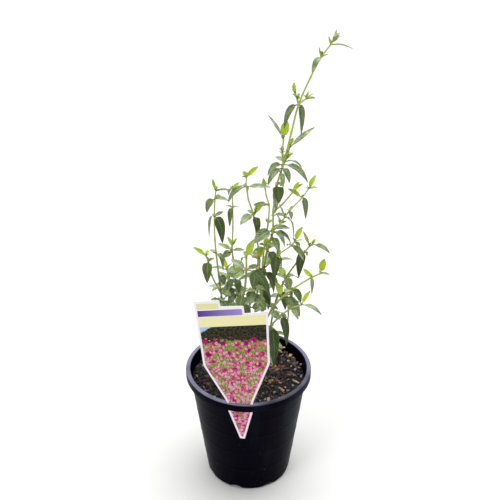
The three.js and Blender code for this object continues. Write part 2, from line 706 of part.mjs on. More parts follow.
function stemHole({ path, radius }) {
  const [x, y, top] = path[0];
  const depth = ROOT_DEPTH + HOLE_SPARE;
  const wide = radius[0] + HOLE_PLAY;
  const bore = new THREE.CylinderGeometry(wide, wide, 2 * depth, HOLE_SIDES)
    .rotateX(Math.PI / 2)
    .translate(x, y, top);
  return solid(bore);
}

function pottingMix() {
  const random = seeded(7);
  let body = mound(random);
  for (let n = 0; n < CHIP_COUNT; n += 1) {
    body = body.add(chip(random));
  }
  for (const shoots of Object.values(STEMS)) {
    body = body.subtract(stemHole(shoots[0]));
  }
  return body;
}

const group = new THREE.Group();
group.add(meshOf("pot", pot(), COLOURS.pot, 0.4));
group.add(meshOf("potting_mix", pottingMix(), COLOURS.potting_mix, 0.95));
group.add(meshOf("plant_label", plantLabel(), COLOURS.plant_label, 0.35));
for (const [name, shoots] of Object.entries(STEMS)) {
  const bodies = shoots.map(shootBody);
  const plant = bodies.reduce((whole, body) => whole.add(body));
  group.add(meshOf(name, plant, COLOURS.leaf, 0.7));
}

export default group;
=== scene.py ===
"""Potted agastache: a young many-stemmed herb in a black nursery pot, with a printed
plastic plant label in the slot of the rim. Sizes in the sections are millimetres."""

import math
import random

import bmesh
import bpy
from mathutils import Matrix, Vector, noise
from mathutils.bvhtree import BVHTree


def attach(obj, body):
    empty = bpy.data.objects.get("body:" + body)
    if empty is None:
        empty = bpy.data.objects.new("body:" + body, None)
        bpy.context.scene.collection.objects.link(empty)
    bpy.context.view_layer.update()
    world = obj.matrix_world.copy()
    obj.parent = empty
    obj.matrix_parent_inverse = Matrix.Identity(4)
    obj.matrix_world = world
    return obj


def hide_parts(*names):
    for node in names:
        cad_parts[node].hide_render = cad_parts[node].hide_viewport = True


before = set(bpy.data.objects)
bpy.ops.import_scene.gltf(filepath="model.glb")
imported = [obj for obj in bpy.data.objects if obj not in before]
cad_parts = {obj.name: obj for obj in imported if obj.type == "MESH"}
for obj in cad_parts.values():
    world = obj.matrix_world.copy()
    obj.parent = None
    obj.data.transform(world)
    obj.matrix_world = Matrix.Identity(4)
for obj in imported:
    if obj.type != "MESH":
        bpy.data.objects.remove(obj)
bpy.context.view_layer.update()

# Camera
# It stands in front of the pot and above it, and looks down at it, as the
# photographer did.
MM = 0.001
CAMERA_PLACE = (1.7, -726.4, 681.4)
CAMERA_PITCH_DOWN = 28.5
CAMERA_LENS = 57.6
CAMERA_SENSOR = 36.0

camera_data = bpy.data.cameras.new("camera")
camera_data.lens = CAMERA_LENS
camera_data.sensor_width = CAMERA_SENSOR
camera = bpy.data.objects.new("camera", camera_data)
camera.location = Vector(CAMERA_PLACE) * MM
camera.rotation_euler = (math.radians(90 - CAMERA_PITCH_DOWN), 0, 0)
bpy.context.scene.collection.objects.link(camera)
bpy.context.scene.camera = camera


# Floor and light
# A seamless pale floor in a light tent: an even white surround, a wide soft light from
# above and a little behind, and one soft box at the front left.
FLOOR_HALF = 40.0
FLOOR_WHITE = "#d3d3d2"
SURROUND_STRENGTH = 0.2
BACKDROP_STRENGTH = 1.0
OVERHEAD_STRENGTH = 4.4
OVERHEAD_SPREAD = 75.0
OVERHEAD_TILT = (-14.0, 6.0)
FRONT_BOX = {"place": (-1.2, -1.2, 1.3), "aim": (0.0, 0.0, 0.2), "size": 0.8, "watts": 15}


def linear(hex_colour):
    """The linear RGBA of an sRGB hex colour."""
    shares = [int(hex_colour[i:i + 2], 16) / 255 for i in (1, 3, 5)]
    return [s / 12.92 if s <= 0.04045 else ((s + 0.055) / 1.055) ** 2.4 for s in shares] + [1.0]


def add_node(tree, kind, links=None, **settings):
    """Adds a node with its settings. links feeds its inputs, named or numbered, from
    values, from sockets, or from the first output of other nodes."""
    node = tree.nodes.new(kind)
    for name, value in settings.items():
        setattr(node, name, value)
    for key, source in (links or {}).items():
        if isinstance(key, int):
            socket = node.inputs[key]
        else:
            socket = next(s for s in node.inputs if s.enabled and key in (s.identifier, s.name))
        if isinstance(source, bpy.types.Node):
            source = next(s for s in source.outputs if s.enabled)
        if isinstance(source, bpy.types.NodeSocket):
            tree.links.new(source, socket)
        else:
            socket.default_value = source
    return node


def grains(size):
    """The scale of a pattern whose grains are that many millimetres across."""
    return 1 / (size * MM)


def new_material(name):
    """An empty node material."""
    material = bpy.data.materials.new(name)
    material.use_nodes = True
    material.node_tree.nodes.clear()
    return material


def new_piece(name, mesh):
    """An object at the origin that holds the mesh."""
    piece = bpy.data.objects.new(name, mesh)
    bpy.context.scene.collection.objects.link(piece)
    return piece


# White background paper: matt and faintly mottled
white_paper = new_material("white_background_paper")
tree = white_paper.node_tree
place = add_node(tree, "ShaderNodeTexCoord").outputs["Object"]
mottle = add_node(tree, "ShaderNodeTexNoise", {"Vector": place, "Scale": grains(333.0)})
paper_colour = add_node(tree, "ShaderNodeMix", {
    "Factor": mottle, "A": linear(FLOOR_WHITE), "B": linear("#d9d9d8"),
}, data_type="RGBA")
paper = add_node(tree, "ShaderNodeBsdfPrincipled", {"Base Color": paper_colour, "Roughness": 0.9})
add_node(tree, "ShaderNodeOutputMaterial", {"Surface": paper})

floor_mesh = bpy.data.meshes.new("floor")
floor_corners = [(x * FLOOR_HALF, y * FLOOR_HALF, 0) for x, y in ((-1, -1), (1, -1), (1, 1), (-1, 1))]
floor_mesh.from_pydata(floor_corners, [], [(0, 1, 2, 3)])
floor_mesh.materials.append(white_paper)
floor = new_piece("floor", floor_mesh)

surround = bpy.data.worlds.new("surround")
surround.use_nodes = True
tree = surround.node_tree
tree.nodes.clear()
# The tent's wall looks white, and gives less light than it would if it were as bright
seen_by_camera = add_node(tree, "ShaderNodeLightPath").outputs["Is Camera Ray"]
tent_strength = add_node(tree, "ShaderNodeMapRange", {
    "Value": seen_by_camera, "To Min": SURROUND_STRENGTH, "To Max": BACKDROP_STRENGTH,
})
tent = add_node(tree, "ShaderNodeBackground", {"Color": (1, 1, 1, 1), "Strength": tent_strength})
add_node(tree, "ShaderNodeOutputWorld", {"Surface": tent})
bpy.context.scene.world = surround
bpy.context.scene.view_settings.view_transform = "Standard"

overhead = bpy.data.lights.new("overhead", "SUN")
overhead.energy = OVERHEAD_STRENGTH
overhead.angle = math.radians(OVERHEAD_SPREAD)
overhead_lamp = bpy.data.objects.new("overhead", overhead)
overhead_lamp.rotation_euler = (math.radians(OVERHEAD_TILT[0]), math.radians(OVERHEAD_TILT[1]), 0)
bpy.context.scene.collection.objects.link(overhead_lamp)

front_light = bpy.data.lights.new("front_left", "AREA")
front_light.shape = "SQUARE"
front_light.size = FRONT_BOX["size"]
front_light.energy = FRONT_BOX["watts"]
front_lamp = bpy.data.objects.new("front_left", front_light)
front_lamp.location = FRONT_BOX["place"]
aim = Vector(FRONT_BOX["aim"]) - Vector(FRONT_BOX["place"])
front_lamp.rotation_euler = aim.to_track_quat("-Z", "Y").to_euler()
bpy.context.scene.collection.objects.link(front_lamp)


# Pot
# A 14 cm nursery pot, injection moulded in one piece of black polypropylene: a thin
# tapered wall with faint stacking rings, a rim that turns down into a skirt, a slot in
# the rim for the label, and drain cut-outs where the wall meets the floor.
POT_HEIGHT = 140.0
RIM_RADIUS = 70.0
WALL_TOP_RADIUS = 66.0
BASE_RADIUS = 48.5
WALL = 1.2
POT_FLOOR = 1.8
RIM_THICK = 2.2
RIM_ROUND = 1.7
RIM_INNER_ROUND = 0.9
SKIRT_DEPTH = 9.0
SKIRT_THICK = 0.9
SKIRT_LIP_ROUND = 0.3
FOOT_ROUND = 3.0
INNER_FOOT_BEVEL = 2.0
POT_SIDES = 192
WALL_STEPS = 90
STACKING_RINGS = (33.0, 60.0, 87.0, 112.0)
RING_RISE = 0.22
RING_HALF = 0.9
DRAIN_COUNT = 8
DRAIN_WIDTH = 15.0
DRAIN_HEIGHT = 4.5
DRAIN_REACH = 12.0
DRAIN_TURN = 0.62
DRAIN_SIDES = 40
CREASE_ANGLE = 38.0
RIM_HIGHLIGHT_DEPTH = 0.6
RIM_HIGHLIGHT_SHIFT = (30.0, 470.0, 0.0)
LABEL_RADIUS = 66.85
LABEL_AZIMUTH = -97.0
SLOT_WIDTH = 28.4
SLOT_SHIFT = -0.55
SLOT_GAP = 1.6


def arc(centre_r, centre_z, radius, start, end, steps):
    """Points of an arc in the (radius, height) plane, angles in degrees."""
    angles = [math.radians(start + (end - start) * i / steps) for i in range(steps + 1)]
    return [(centre_r + radius * math.cos(a), centre_z + radius * math.sin(a)) for a in angles]


def wall_radius(height):
    """The outside of the tapered wall at a height."""
    share = (height - FOOT_ROUND) / (POT_HEIGHT - RIM_THICK - FOOT_ROUND)
    return BASE_RADIUS + (WALL_TOP_RADIUS - BASE_RADIUS) * share


def pot_profile():
    """The moulded section from the middle of the underside, out, up and over the rim,
    and down the inside to the middle of the floor."""
    skirt_foot = POT_HEIGHT - SKIRT_DEPTH
    underside = POT_HEIGHT - RIM_THICK
    skirt_inner = RIM_RADIUS - SKIRT_THICK
    inner_top = wall_radius(POT_HEIGHT) - WALL
    corner_top = POT_FLOOR + INNER_FOOT_BEVEL
    points = [(0, 0), (BASE_RADIUS / 2, 0)]
    points += arc(BASE_RADIUS - FOOT_ROUND, FOOT_ROUND, FOOT_ROUND, -90, 0, 6)
    for i in range(1, WALL_STEPS):
        height = FOOT_ROUND + (underside - FOOT_ROUND) * i / WALL_STEPS
        rings = sum(math.exp(-((height - ring) / RING_HALF) ** 2) for ring in STACKING_RINGS)
        points.append((wall_radius(height) + RING_RISE * rings, height))
    points += [(WALL_TOP_RADIUS, underside), (skirt_inner, underside)]
    lip_height = skirt_foot + SKIRT_LIP_ROUND
    points += arc(skirt_inner + SKIRT_LIP_ROUND, lip_height, SKIRT_LIP_ROUND, 180, 270, 3)
    points += arc(RIM_RADIUS - SKIRT_LIP_ROUND, lip_height, SKIRT_LIP_ROUND, 270, 360, 3)
    points += arc(RIM_RADIUS - RIM_ROUND, POT_HEIGHT - RIM_ROUND, RIM_ROUND, 0, 90, 8)
    points += arc(inner_top + RIM_INNER_ROUND, POT_HEIGHT - RIM_INNER_ROUND, RIM_INNER_ROUND, 90, 180, 5)
    points += [(wall_radius(corner_top) - WALL, corner_top)]
    points += [(wall_radius(corner_top) - WALL - INNER_FOOT_BEVEL, POT_FLOOR), (0, POT_FLOOR)]
    return points


def bridged(shape, rings):
    """The faces between each ring of vertices and the next. A ring of one is a pole."""
    sides = max(len(ring) for ring in rings)
    faces = []
    for low, high in zip(rings, rings[1:]):
        for s in range(sides):
            n = (s + 1) % sides
            corners = [low[s % len(low)], low[n % len(low)], high[n % len(high)], high[s % len(high)]]
            faces.append(shape.faces.new(list(dict.fromkeys(corners))))
    return faces


def as_mesh(name, shape):
    """The finished shape as a mesh."""
    mesh = bpy.data.meshes.new(name)
    shape.to_mesh(mesh)
    shape.free()
    return mesh


def turned(name, profile, sides):
    """A body of revolution about Z. The profile starts and ends on the axis."""
    shape = bmesh.new()
    angles = [2 * math.pi * s / sides for s in range(sides)]
    rings = [
        [
            shape.verts.new((radius * math.cos(a) * MM, radius * math.sin(a) * MM, height * MM))
            for a in (angles if radius else (0,))
        ]
        for radius, height in profile
    ]
    bridged(shape, rings)
    bmesh.ops.recalc_face_normals(shape, faces=shape.faces)
    return as_mesh(name, shape)


def smooth_with_creases(mesh, crease_degrees):
    """Smooth shading, broken where two faces meet at more than the crease angle."""
    shape = bmesh.new()
    shape.from_mesh(mesh)
    for face in shape.faces:
        face.smooth = True
    for edge in shape.edges:
        edge.smooth = edge.calc_face_angle(0) < math.radians(crease_degrees)
    shape.to_mesh(mesh)
    shape.free()


def settle(piece):
    """Applies the piece's modifiers, which leaves it a plain mesh."""
    graph = bpy.context.evaluated_depsgraph_get()
    mesh = bpy.data.meshes.new_from_object(piece.evaluated_get(graph))
    old = piece.data
    piece.modifiers.clear()
    piece.data = mesh
    bpy.data.meshes.remove(old)
    mesh.name = piece.name


pot = new_piece("pot_shell", turned("pot_shell", pot_profile(), POT_SIDES))

cutter_shape = bmesh.new()
to_label = Matrix.Rotation(math.radians(LABEL_AZIMUTH), 4, "Z")
slot_place = to_label @ Matrix.Translation(Vector((LABEL_RADIUS, SLOT_SHIFT, POT_HEIGHT)) * MM)
slot_size = Matrix.Diagonal(Vector((SLOT_GAP, SLOT_WIDTH, 3 * RIM_THICK)) * MM).to_4x4()
bmesh.ops.create_cube(cutter_shape, size=1, matrix=slot_place @ slot_size)
for i in range(DRAIN_COUNT):
    turn = Matrix.Rotation(2 * math.pi * (i + DRAIN_TURN) / DRAIN_COUNT, 4, "Z")
    lay_down = Matrix.Rotation(math.pi / 2, 4, "Y")
    flatten = Matrix.Diagonal((1, 1, DRAIN_HEIGHT / (DRAIN_WIDTH / 2), 1))
    bmesh.ops.create_cone(
        cutter_shape, cap_ends=True, segments=DRAIN_SIDES, depth=DRAIN_REACH * MM,
        radius1=DRAIN_WIDTH / 2 * MM, radius2=DRAIN_WIDTH / 2 * MM,
        matrix=turn @ Matrix.Translation((BASE_RADIUS * MM, 0, 0)) @ flatten @ lay_down,
    )
cutters = new_piece("pot_cutters", as_mesh("pot_cutters", cutter_shape))
cut = pot.modifiers.new("slot and drains", "BOOLEAN")
cut.operation = "DIFFERENCE"
cut.solver = "EXACT"
cut.object = cutters
settle(pot)
bpy.data.objects.remove(cutters)
smooth_with_creases(pot.data, CREASE_ANGLE)

# Black polypropylene, moulded against a finely blasted steel mould: satin, with faint
# flow marks down the wall, potting dust on the rim and low down, painted pale gloss streaks
# on the wall and a painted pale highlight along the rim top
black_plastic = new_material("black_moulded_polypropylene")
tree = black_plastic.node_tree
place = add_node(tree, "ShaderNodeTexCoord").outputs["Object"]
height = add_node(tree, "ShaderNodeSeparateXYZ", {"Vector": place}).outputs["Z"]
faces_up = add_node(tree, "ShaderNodeSeparateXYZ", {
    "Vector": add_node(tree, "ShaderNodeNewGeometry").outputs["Normal"],
}).outputs["Z"]
stretched = add_node(tree, "ShaderNodeMapping", {"Vector": place, "Scale": (1, 1, 0.06)})
flow_marks = add_node(tree, "ShaderNodeTexNoise", {
    "Vector": stretched, "Scale": grains(6.25), "Detail": 2.0,
})
dust_cloud = add_node(tree, "ShaderNodeTexNoise", {
    "Vector": place, "Scale": grains(18.2), "Detail": 5.0,
})
dust_specks = add_node(tree, "ShaderNodeTexVoronoi", {"Vector": place, "Scale": grains(3.85)})
speck = add_node(tree, "ShaderNodeMapRange", {
    "Value": dust_specks.outputs["Distance"], "From Min": 0.16, "From Max": 0.08,
})
dusty = add_node(tree, "ShaderNodeMapRange", {
    "Value": dust_cloud, "From Min": 0.5, "From Max": 0.7, "To Max": 0.4,
})
speck_share = add_node(tree, "ShaderNodeMath", {0: speck, 1: dusty}, operation="MULTIPLY")
# Painted highlight: the rim top is coloured pale where it faces up, as if it caught the light
rim_height = add_node(tree, "ShaderNodeMapRange", {
    "Value": height, "From Min": (POT_HEIGHT - RIM_THICK) * MM,
    "From Max": (POT_HEIGHT - RIM_HIGHLIGHT_DEPTH) * MM,
})
upward = add_node(tree, "ShaderNodeMapRange", {"Value": faces_up, "From Min": 0.15, "From Max": 0.75})
rim_highlight_area = add_node(tree, "ShaderNodeMath", {0: rim_height, 1: upward}, operation="MULTIPLY")
# The painted highlight on the rim is brightest at its sides and its back
rim_highlight_place = add_node(tree, "ShaderNodeMapping", {
    "Vector": place, "Location": Vector(RIM_HIGHLIGHT_SHIFT) * MM,
})
rim_highlight_noise = add_node(tree, "ShaderNodeTexNoise", {
    "Vector": rim_highlight_place, "Scale": grains(71.43), "Detail": 3.0,
})
rim_highlight_cloud = add_node(tree, "ShaderNodeMapRange", {
    "Value": rim_highlight_noise, "From Min": 0.38, "From Max": 0.56, "To Min": 0.2, "To Max": 1.0,
})
rim_highlight_share = add_node(tree, "ShaderNodeMath", {0: rim_highlight_area, 1: rim_highlight_cloud}, operation="MULTIPLY")
wall_colour = add_node(tree, "ShaderNodeMix", {
    "Factor": flow_marks, "A": linear("#020109"), "B": linear("#060412"),
}, data_type="RGBA")
# Painted gloss: broad pale vertical streaks in the wall's colour stand in for reflections on it
gloss_streak_place = add_node(tree, "ShaderNodeMapping", {"Vector": place, "Scale": (1, 1, 0.1)})
gloss_streak_noise = add_node(tree, "ShaderNodeTexNoise", {
    "Vector": gloss_streak_place, "Scale": grains(38.46), "Detail": 3.0,
})
painted_gloss_share = add_node(tree, "ShaderNodeMapRange", {"Value": gloss_streak_noise, "From Min": 0.54, "From Max": 0.72})
# Over the plain wall come the painted gloss streaks, the painted rim highlight and the dust
pot_colour = wall_colour
for share, coat in ((painted_gloss_share, "#171b25"), (rim_highlight_share, "#7d7b93"), (speck_share, "#8b8074")):
    pot_colour = add_node(tree, "ShaderNodeMix", {
        "Factor": share, "A": pot_colour, "B": linear(coat),
    }, data_type="RGBA")
pot_roughness = add_node(tree, "ShaderNodeMapRange", {
    "Value": dust_cloud, "From Min": 0.3, "From Max": 0.7, "To Min": 0.3, "To Max": 0.42,
})
# The blasting of the mould is drawn coarser than it is, or it would not show
blast = add_node(tree, "ShaderNodeTexNoise", {"Vector": place, "Scale": grains(0.714), "Detail": 2.0})
relief = add_node(tree, "ShaderNodeMath", {0: flow_marks, 1: 2.0, 2: blast}, operation="MULTIPLY_ADD")
moulded_skin = add_node(tree, "ShaderNodeBump", {
    "Height": relief, "Strength": 0.25, "Distance": 0.2 * MM,
})
plastic = add_node(tree, "ShaderNodeBsdfPrincipled", {
    "Base Color": pot_colour, "Roughness": pot_roughness, "Specular IOR Level": 0.015,
    "Normal": moulded_skin,
})
add_node(tree, "ShaderNodeOutputMaterial", {"Surface": plastic})
pot.data.materials.append(black_plastic)
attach(pot, "root")
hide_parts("pot")


# Potting mix
# Damp composted bark and peat, tipped in loose: a lumpy dark ground that meets the wall
# of the pot, with crumbs, bark chips, root fibres and fertiliser prills lying on it.
SOIL_TOP = 126.2
SOIL_FOOT = 2.1
SOIL_FOOT_BEVEL = 4.0
SOIL_CLEAR = 0.3
SOIL_RINGS = 70
SOIL_SIDES = 200
SOIL_LUMPS = ((22.0, 1.1), (7.0, 1.2), (2.6, 0.7))
SOIL_EDGE_DROP = 1.6
SOIL_EDGE_SHARE = 0.15
SIDE_SHADE_SPAN = 30.0
LEVEL_ENOUGH = 0.3


def lump_height(x, y):
    """How far the loose mix stands above its mean level, in millimetres."""
    return sum(rise * noise.noise(Vector((x / size, y / size, size))) for size, rise in SOIL_LUMPS)


def mix_mesh():
    """The whole filling of the pot, lumpy on top."""
    edge = wall_radius(SOIL_TOP) - WALL - SOIL_CLEAR
    corner_top = SOIL_FOOT + SOIL_FOOT_BEVEL
    profile = [
        (0, SOIL_FOOT),
        (wall_radius(SOIL_FOOT) - WALL - SOIL_FOOT_BEVEL, SOIL_FOOT),
        (wall_radius(corner_top) - WALL - SOIL_CLEAR, corner_top),
    ]
    profile += [(edge * (1 - i / SOIL_RINGS), SOIL_TOP) for i in range(SOIL_RINGS + 1)]
    profile[-1] = (0, SOIL_TOP)
    mesh = turned("potting_mix_ground", profile, SOIL_SIDES)
    for vertex in mesh.vertices:
        x, y, z = vertex.co / MM
        if z > SOIL_TOP - 1:
            near_wall = max(0.0, (math.hypot(x, y) / edge - 1 + SOIL_EDGE_SHARE) / SOIL_EDGE_SHARE)
            vertex.co.z += (lump_height(x, y) - SOIL_EDGE_DROP * near_wall ** 2) * MM
    return mesh


mix = new_piece("potting_mix_ground", mix_mesh())
for polygon in mix.data.polygons:
    polygon.use_smooth = True


def litter_material(name, dark, mid, pale, roughness, grain_size):
    """A damp crumbly finish. Each bit takes its own shade from its tint attribute, and
    a noise of the real grain size breaks up its colour and its surface. Painted shade
    makes the left side darker and the right side lighter."""
    material = new_material(name)
    tree = material.node_tree
    place = add_node(tree, "ShaderNodeTexCoord").outputs["Object"]
    tint = add_node(tree, "ShaderNodeAttribute", attribute_name="tint").outputs["Fac"]
    grain = add_node(tree, "ShaderNodeTexNoise", {
        "Vector": place, "Scale": grains(grain_size), "Detail": 6.0, "Roughness": 0.7,
    })
    middling = add_node(tree, "ShaderNodeMapRange", {"Value": tint, "From Min": 0.0, "From Max": 0.75})
    palest = add_node(tree, "ShaderNodeMapRange", {"Value": tint, "From Min": 0.72, "From Max": 1.0})
    body = add_node(tree, "ShaderNodeMix", {
        "Factor": middling, "A": linear(dark), "B": linear(mid),
    }, data_type="RGBA")
    lit = add_node(tree, "ShaderNodeMix", {
        "Factor": palest, "A": body, "B": linear(pale),
    }, data_type="RGBA")
    shade = add_node(tree, "ShaderNodeMapRange", {
        "Value": grain, "From Min": 0.3, "From Max": 0.7, "To Min": 0.4, "To Max": 1.5,
    })
    grained = add_node(tree, "ShaderNodeVectorMath", {0: lit, "Scale": shade}, operation="SCALE")
    # Painted shade: the colour darkens towards the left side and brightens towards the right
    toward_right = add_node(tree, "ShaderNodeSeparateXYZ", {"Vector": place}).outputs["X"]
    painted_side_shade = add_node(tree, "ShaderNodeMapRange", {
        "Value": toward_right, "From Min": -SIDE_SHADE_SPAN * MM, "From Max": SIDE_SHADE_SPAN * MM,
        "To Min": 0.4, "To Max": 1.45,
    })
    colour = add_node(tree, "ShaderNodeVectorMath", {0: grained, "Scale": painted_side_shade}, operation="SCALE")
    crumble = add_node(tree, "ShaderNodeBump", {"Height": grain, "Strength": 0.7, "Distance": 0.6 * MM})
    skin = add_node(tree, "ShaderNodeBsdfPrincipled", {
        "Base Color": colour, "Roughness": roughness, "Normal": crumble,
    })
    add_node(tree, "ShaderNodeOutputMaterial", {"Surface": skin})
    return material


# Damp peat: nearly black, broken by brown crumbs about 3 mm across
damp_peat = litter_material("damp_peat", "#050406", "#120d12", "#2d2329", 0.9, 3.0)
mix.data.materials.append(damp_peat)
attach(mix, "root")
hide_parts("potting_mix")


def new_tree(name, inputs, output):
    """A geometry tree with named inputs and one output, and the sockets of its inputs."""
    tree = bpy.data.node_groups.new(name, "GeometryNodeTree")
    for socket, kind in inputs:
        tree.interface.new_socket(name=socket, in_out="INPUT", socket_type="NodeSocket" + kind)
    tree.interface.new_socket(name=output, in_out="OUTPUT", socket_type="NodeSocketGeometry")
    return tree, add_node(tree, "NodeGroupInput").outputs


LITTER_INPUTS = (
    ("Ground", "Geometry"), ("Per Square Metre", "Float"), ("Seed", "Int"), ("Reach", "Float"),
    ("Tilt", "Float"), ("Roughen", "Float"), ("Lumps Per Metre", "Float"), ("Lift", "Float"),
    ("Finish", "Material"),
)


def strewn_points(tree, given):
    """Points strewn over the ground's upper side, no further than the reach from its axis,
    with a turn of its own for each."""
    normal = add_node(tree, "GeometryNodeInputNormal")
    faces_up = add_node(tree, "ShaderNodeSeparateXYZ", {0: normal}).outputs["Z"]
    flat = add_node(tree, "ShaderNodeVectorMath", {
        0: add_node(tree, "GeometryNodeInputPosition"), 1: (1, 1, 0),
    }, operation="MULTIPLY")
    from_axis = add_node(tree, "ShaderNodeVectorMath", {0: flat}, operation="LENGTH").outputs["Value"]
    inside = add_node(tree, "FunctionNodeCompare", {
        "A": from_axis, "B": given["Reach"],
    }, operation="LESS_THAN")
    on_top = add_node(tree, "FunctionNodeCompare", {
        "A": faces_up, "B": LEVEL_ENOUGH,
    }, operation="GREATER_THAN")
    chosen = add_node(tree, "FunctionNodeBooleanMath", {0: inside, 1: on_top}, operation="AND")
    points = add_node(tree, "GeometryNodeDistributePointsOnFaces", {
        "Mesh": given["Ground"], "Selection": chosen, "Density": given["Per Square Metre"],
        "Seed": given["Seed"],
    }).outputs["Points"]
    spin = add_node(tree, "FunctionNodeRandomValue", {
        "Min": 0.0, "Max": 2 * math.pi, "Seed": 5,
    }, data_type="FLOAT")
    return points, spin


def weathered(tree, given, bits):
    """The bits made real and pushed out of shape, each with a tint of its own."""
    tint = add_node(tree, "FunctionNodeRandomValue", {
        "Min": 0.0, "Max": 1.0, "Seed": 6,
    }, data_type="FLOAT")
    tinted = add_node(tree, "GeometryNodeStoreNamedAttribute", {
        "Geometry": bits, "Name": "tint", "Value": tint,
    }, data_type="FLOAT", domain="INSTANCE")
    real = add_node(tree, "GeometryNodeRealizeInstances", {"Geometry": tinted})
    rough = add_node(tree, "ShaderNodeTexNoise", {
        "Vector": add_node(tree, "GeometryNodeInputPosition"), "Scale": given["Lumps Per Metre"],
        "Detail": 1.0,
    })
    centred = add_node(tree, "ShaderNodeVectorMath", {
        0: rough.outputs["Color"], 1: (0.5, 0.5, 0.5),
    }, operation="SUBTRACT")
    shift = add_node(tree, "ShaderNodeVectorMath", {
        0: centred, "Scale": given["Roughen"],
    }, operation="SCALE")
    lift = add_node(tree, "ShaderNodeCombineXYZ", {"Z": given["Lift"]})
    offset = add_node(tree, "ShaderNodeVectorMath", {0: shift, 1: lift}, operation="ADD")
    return add_node(tree, "GeometryNodeSetPosition", {"Geometry": real, "Offset": offset})


def scatter_tree(name, shape_kind, shape_sizes):
    """Geometry nodes that strew roughened bits of one basic shape over a ground."""
    tree, given = new_tree(
        name, LITTER_INPUTS + (("Smallest", "Vector"), ("Largest", "Vector")), "Litter",
    )
    points, spin = strewn_points(tree, given)
    size = add_node(tree, "FunctionNodeRandomValue", {
        "Min": given["Smallest"], "Max": given["Largest"], "Seed": given["Seed"],
    }, data_type="FLOAT_VECTOR")
    tilt_low = add_node(tree, "ShaderNodeMath", {0: given["Tilt"], 1: -1.0}, operation="MULTIPLY")
    lean_x, lean_y = (
        add_node(tree, "FunctionNodeRandomValue", {
            "Min": tilt_low, "Max": given["Tilt"], "Seed": seed,
        }, data_type="FLOAT")
        for seed in (3, 4)
    )
    lie = add_node(tree, "ShaderNodeCombineXYZ", {"X": lean_x, "Y": lean_y, "Z": spin})
    bits = add_node(tree, "GeometryNodeInstanceOnPoints", {
        "Points": points, "Instance": add_node(tree, shape_kind, shape_sizes), "Rotation": lie,
        "Scale": size,
    })
    finished = add_node(tree, "GeometryNodeSetMaterial", {
        "Geometry": weathered(tree, given, bits), "Material": given["Finish"],
    })
    add_node(tree, "NodeGroupOutput", {"Litter": finished})
    return tree


def use_tree(piece, tree, **values):
    """Puts the tree on the piece, sets its named inputs, and settles the result."""
    modifier = piece.modifiers.new(tree.name, "NODES")
    modifier.node_group = tree
    for socket in tree.interface.items_tree:
        key = socket.name.replace(" ", "_").lower()
        if socket.item_type == "SOCKET" and key in values:
            modifier[socket.identifier] = values[key]
    settle(piece)


def strew(name, tree, material, **values):
    """One kind of litter over the mix, as its own piece."""
    bits = new_piece(name, mix.data.copy())
    use_tree(bits, tree, finish=material, **values)
    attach(bits, "root")


# Crumbs of peat and composted bark, 1 to 5 mm, sieved and never the same shape
crumb_tree = scatter_tree("crumbs", "GeometryNodeMeshIcoSphere", {"Radius": 0.5, "Subdivisions": 2})
strew(
    "peat_crumbs", crumb_tree,
    litter_material("peat_crumb", "#070508", "#271d21", "#9c8a84", 0.65, 1.2),
    per_square_metre=90000.0, seed=11, reach=61.5 * MM, smallest=Vector((1.6, 1.2, 1.0)) * MM,
    largest=Vector((4.6, 3.6, 3.0)) * MM, tilt=0.6, roughen=1.9 * MM, lumps_per_metre=520.0,
    lift=0.5 * MM,
)

# Bark chips: pine bark split along its layers into flat flakes, brown to tan
chip_tree = scatter_tree("chips", "GeometryNodeMeshCube", {
    "Size": (1, 1, 1), "Vertices X": 5, "Vertices Y": 4, "Vertices Z": 2,
})
strew(
    "bark_chips", chip_tree,
    litter_material("split_pine_bark", "#120d0f", "#3a2a2d", "#ac8768", 0.65, 0.8),
    per_square_metre=11000.0, seed=23, reach=58.0 * MM, smallest=Vector((3.5, 1.6, 0.8)) * MM,
    largest=Vector((10.0, 4.2, 1.8)) * MM, tilt=0.5, roughen=1.7 * MM, lumps_per_metre=330.0,
    lift=0.9 * MM,
)


def fibre_tree():
    """Geometry nodes that lay thin bent fibres over a ground."""
    tree, given = new_tree("fibres", LITTER_INPUTS + (
        ("Shortest", "Float"), ("Longest", "Float"), ("Radius", "Float"),
    ), "Fibres")
    points, spin = strewn_points(tree, given)
    length = add_node(tree, "FunctionNodeRandomValue", {
        "Min": given["Shortest"], "Max": given["Longest"], "Seed": given["Seed"],
    }, data_type="FLOAT")
    tilt_low = add_node(tree, "ShaderNodeMath", {0: given["Tilt"], 1: -1.0}, operation="MULTIPLY")
    lean = add_node(tree, "FunctionNodeRandomValue", {
        "Min": tilt_low, "Max": given["Tilt"], "Seed": 3,
    }, data_type="FLOAT")
    lie = add_node(tree, "ShaderNodeCombineXYZ", {"X": lean, "Y": lean, "Z": spin})
    bow = add_node(tree, "GeometryNodeCurveQuadraticBezier", {
        "Resolution": 9, "Start": (-0.5, 0, 0), "Middle": (0.1, 0.45, 0.25), "End": (0.5, 0, 0),
    })
    laid = add_node(tree, "GeometryNodeInstanceOnPoints", {
        "Points": points, "Instance": bow, "Rotation": lie, "Scale": length,
    })
    section = add_node(tree, "GeometryNodeCurvePrimitiveCircle", {
        "Resolution": 4, "Radius": given["Radius"],
    })
    threads = add_node(tree, "GeometryNodeCurveToMesh", {
        "Curve": weathered(tree, given, laid), "Profile Curve": section.outputs["Curve"],
        "Fill Caps": True,
    })
    finished = add_node(tree, "GeometryNodeSetMaterial", {
        "Geometry": threads, "Material": given["Finish"],
    })
    add_node(tree, "NodeGroupOutput", {"Fibres": finished})
    return tree


# Root and coir fibres, 0.4 mm thick and 5 to 17 mm long, dry and straw coloured
strew(
    "coir_fibres", fibre_tree(), litter_material("dry_coir", "#1d140e", "#4a3524", "#8f6f4b", 0.75, 1.5),
    per_square_metre=14000.0, seed=31, reach=56.0 * MM, shortest=5.0 * MM, longest=17.0 * MM,
    radius=0.2 * MM, tilt=0.5, roughen=5.0 * MM, lumps_per_metre=240.0, lift=1.6 * MM,
)

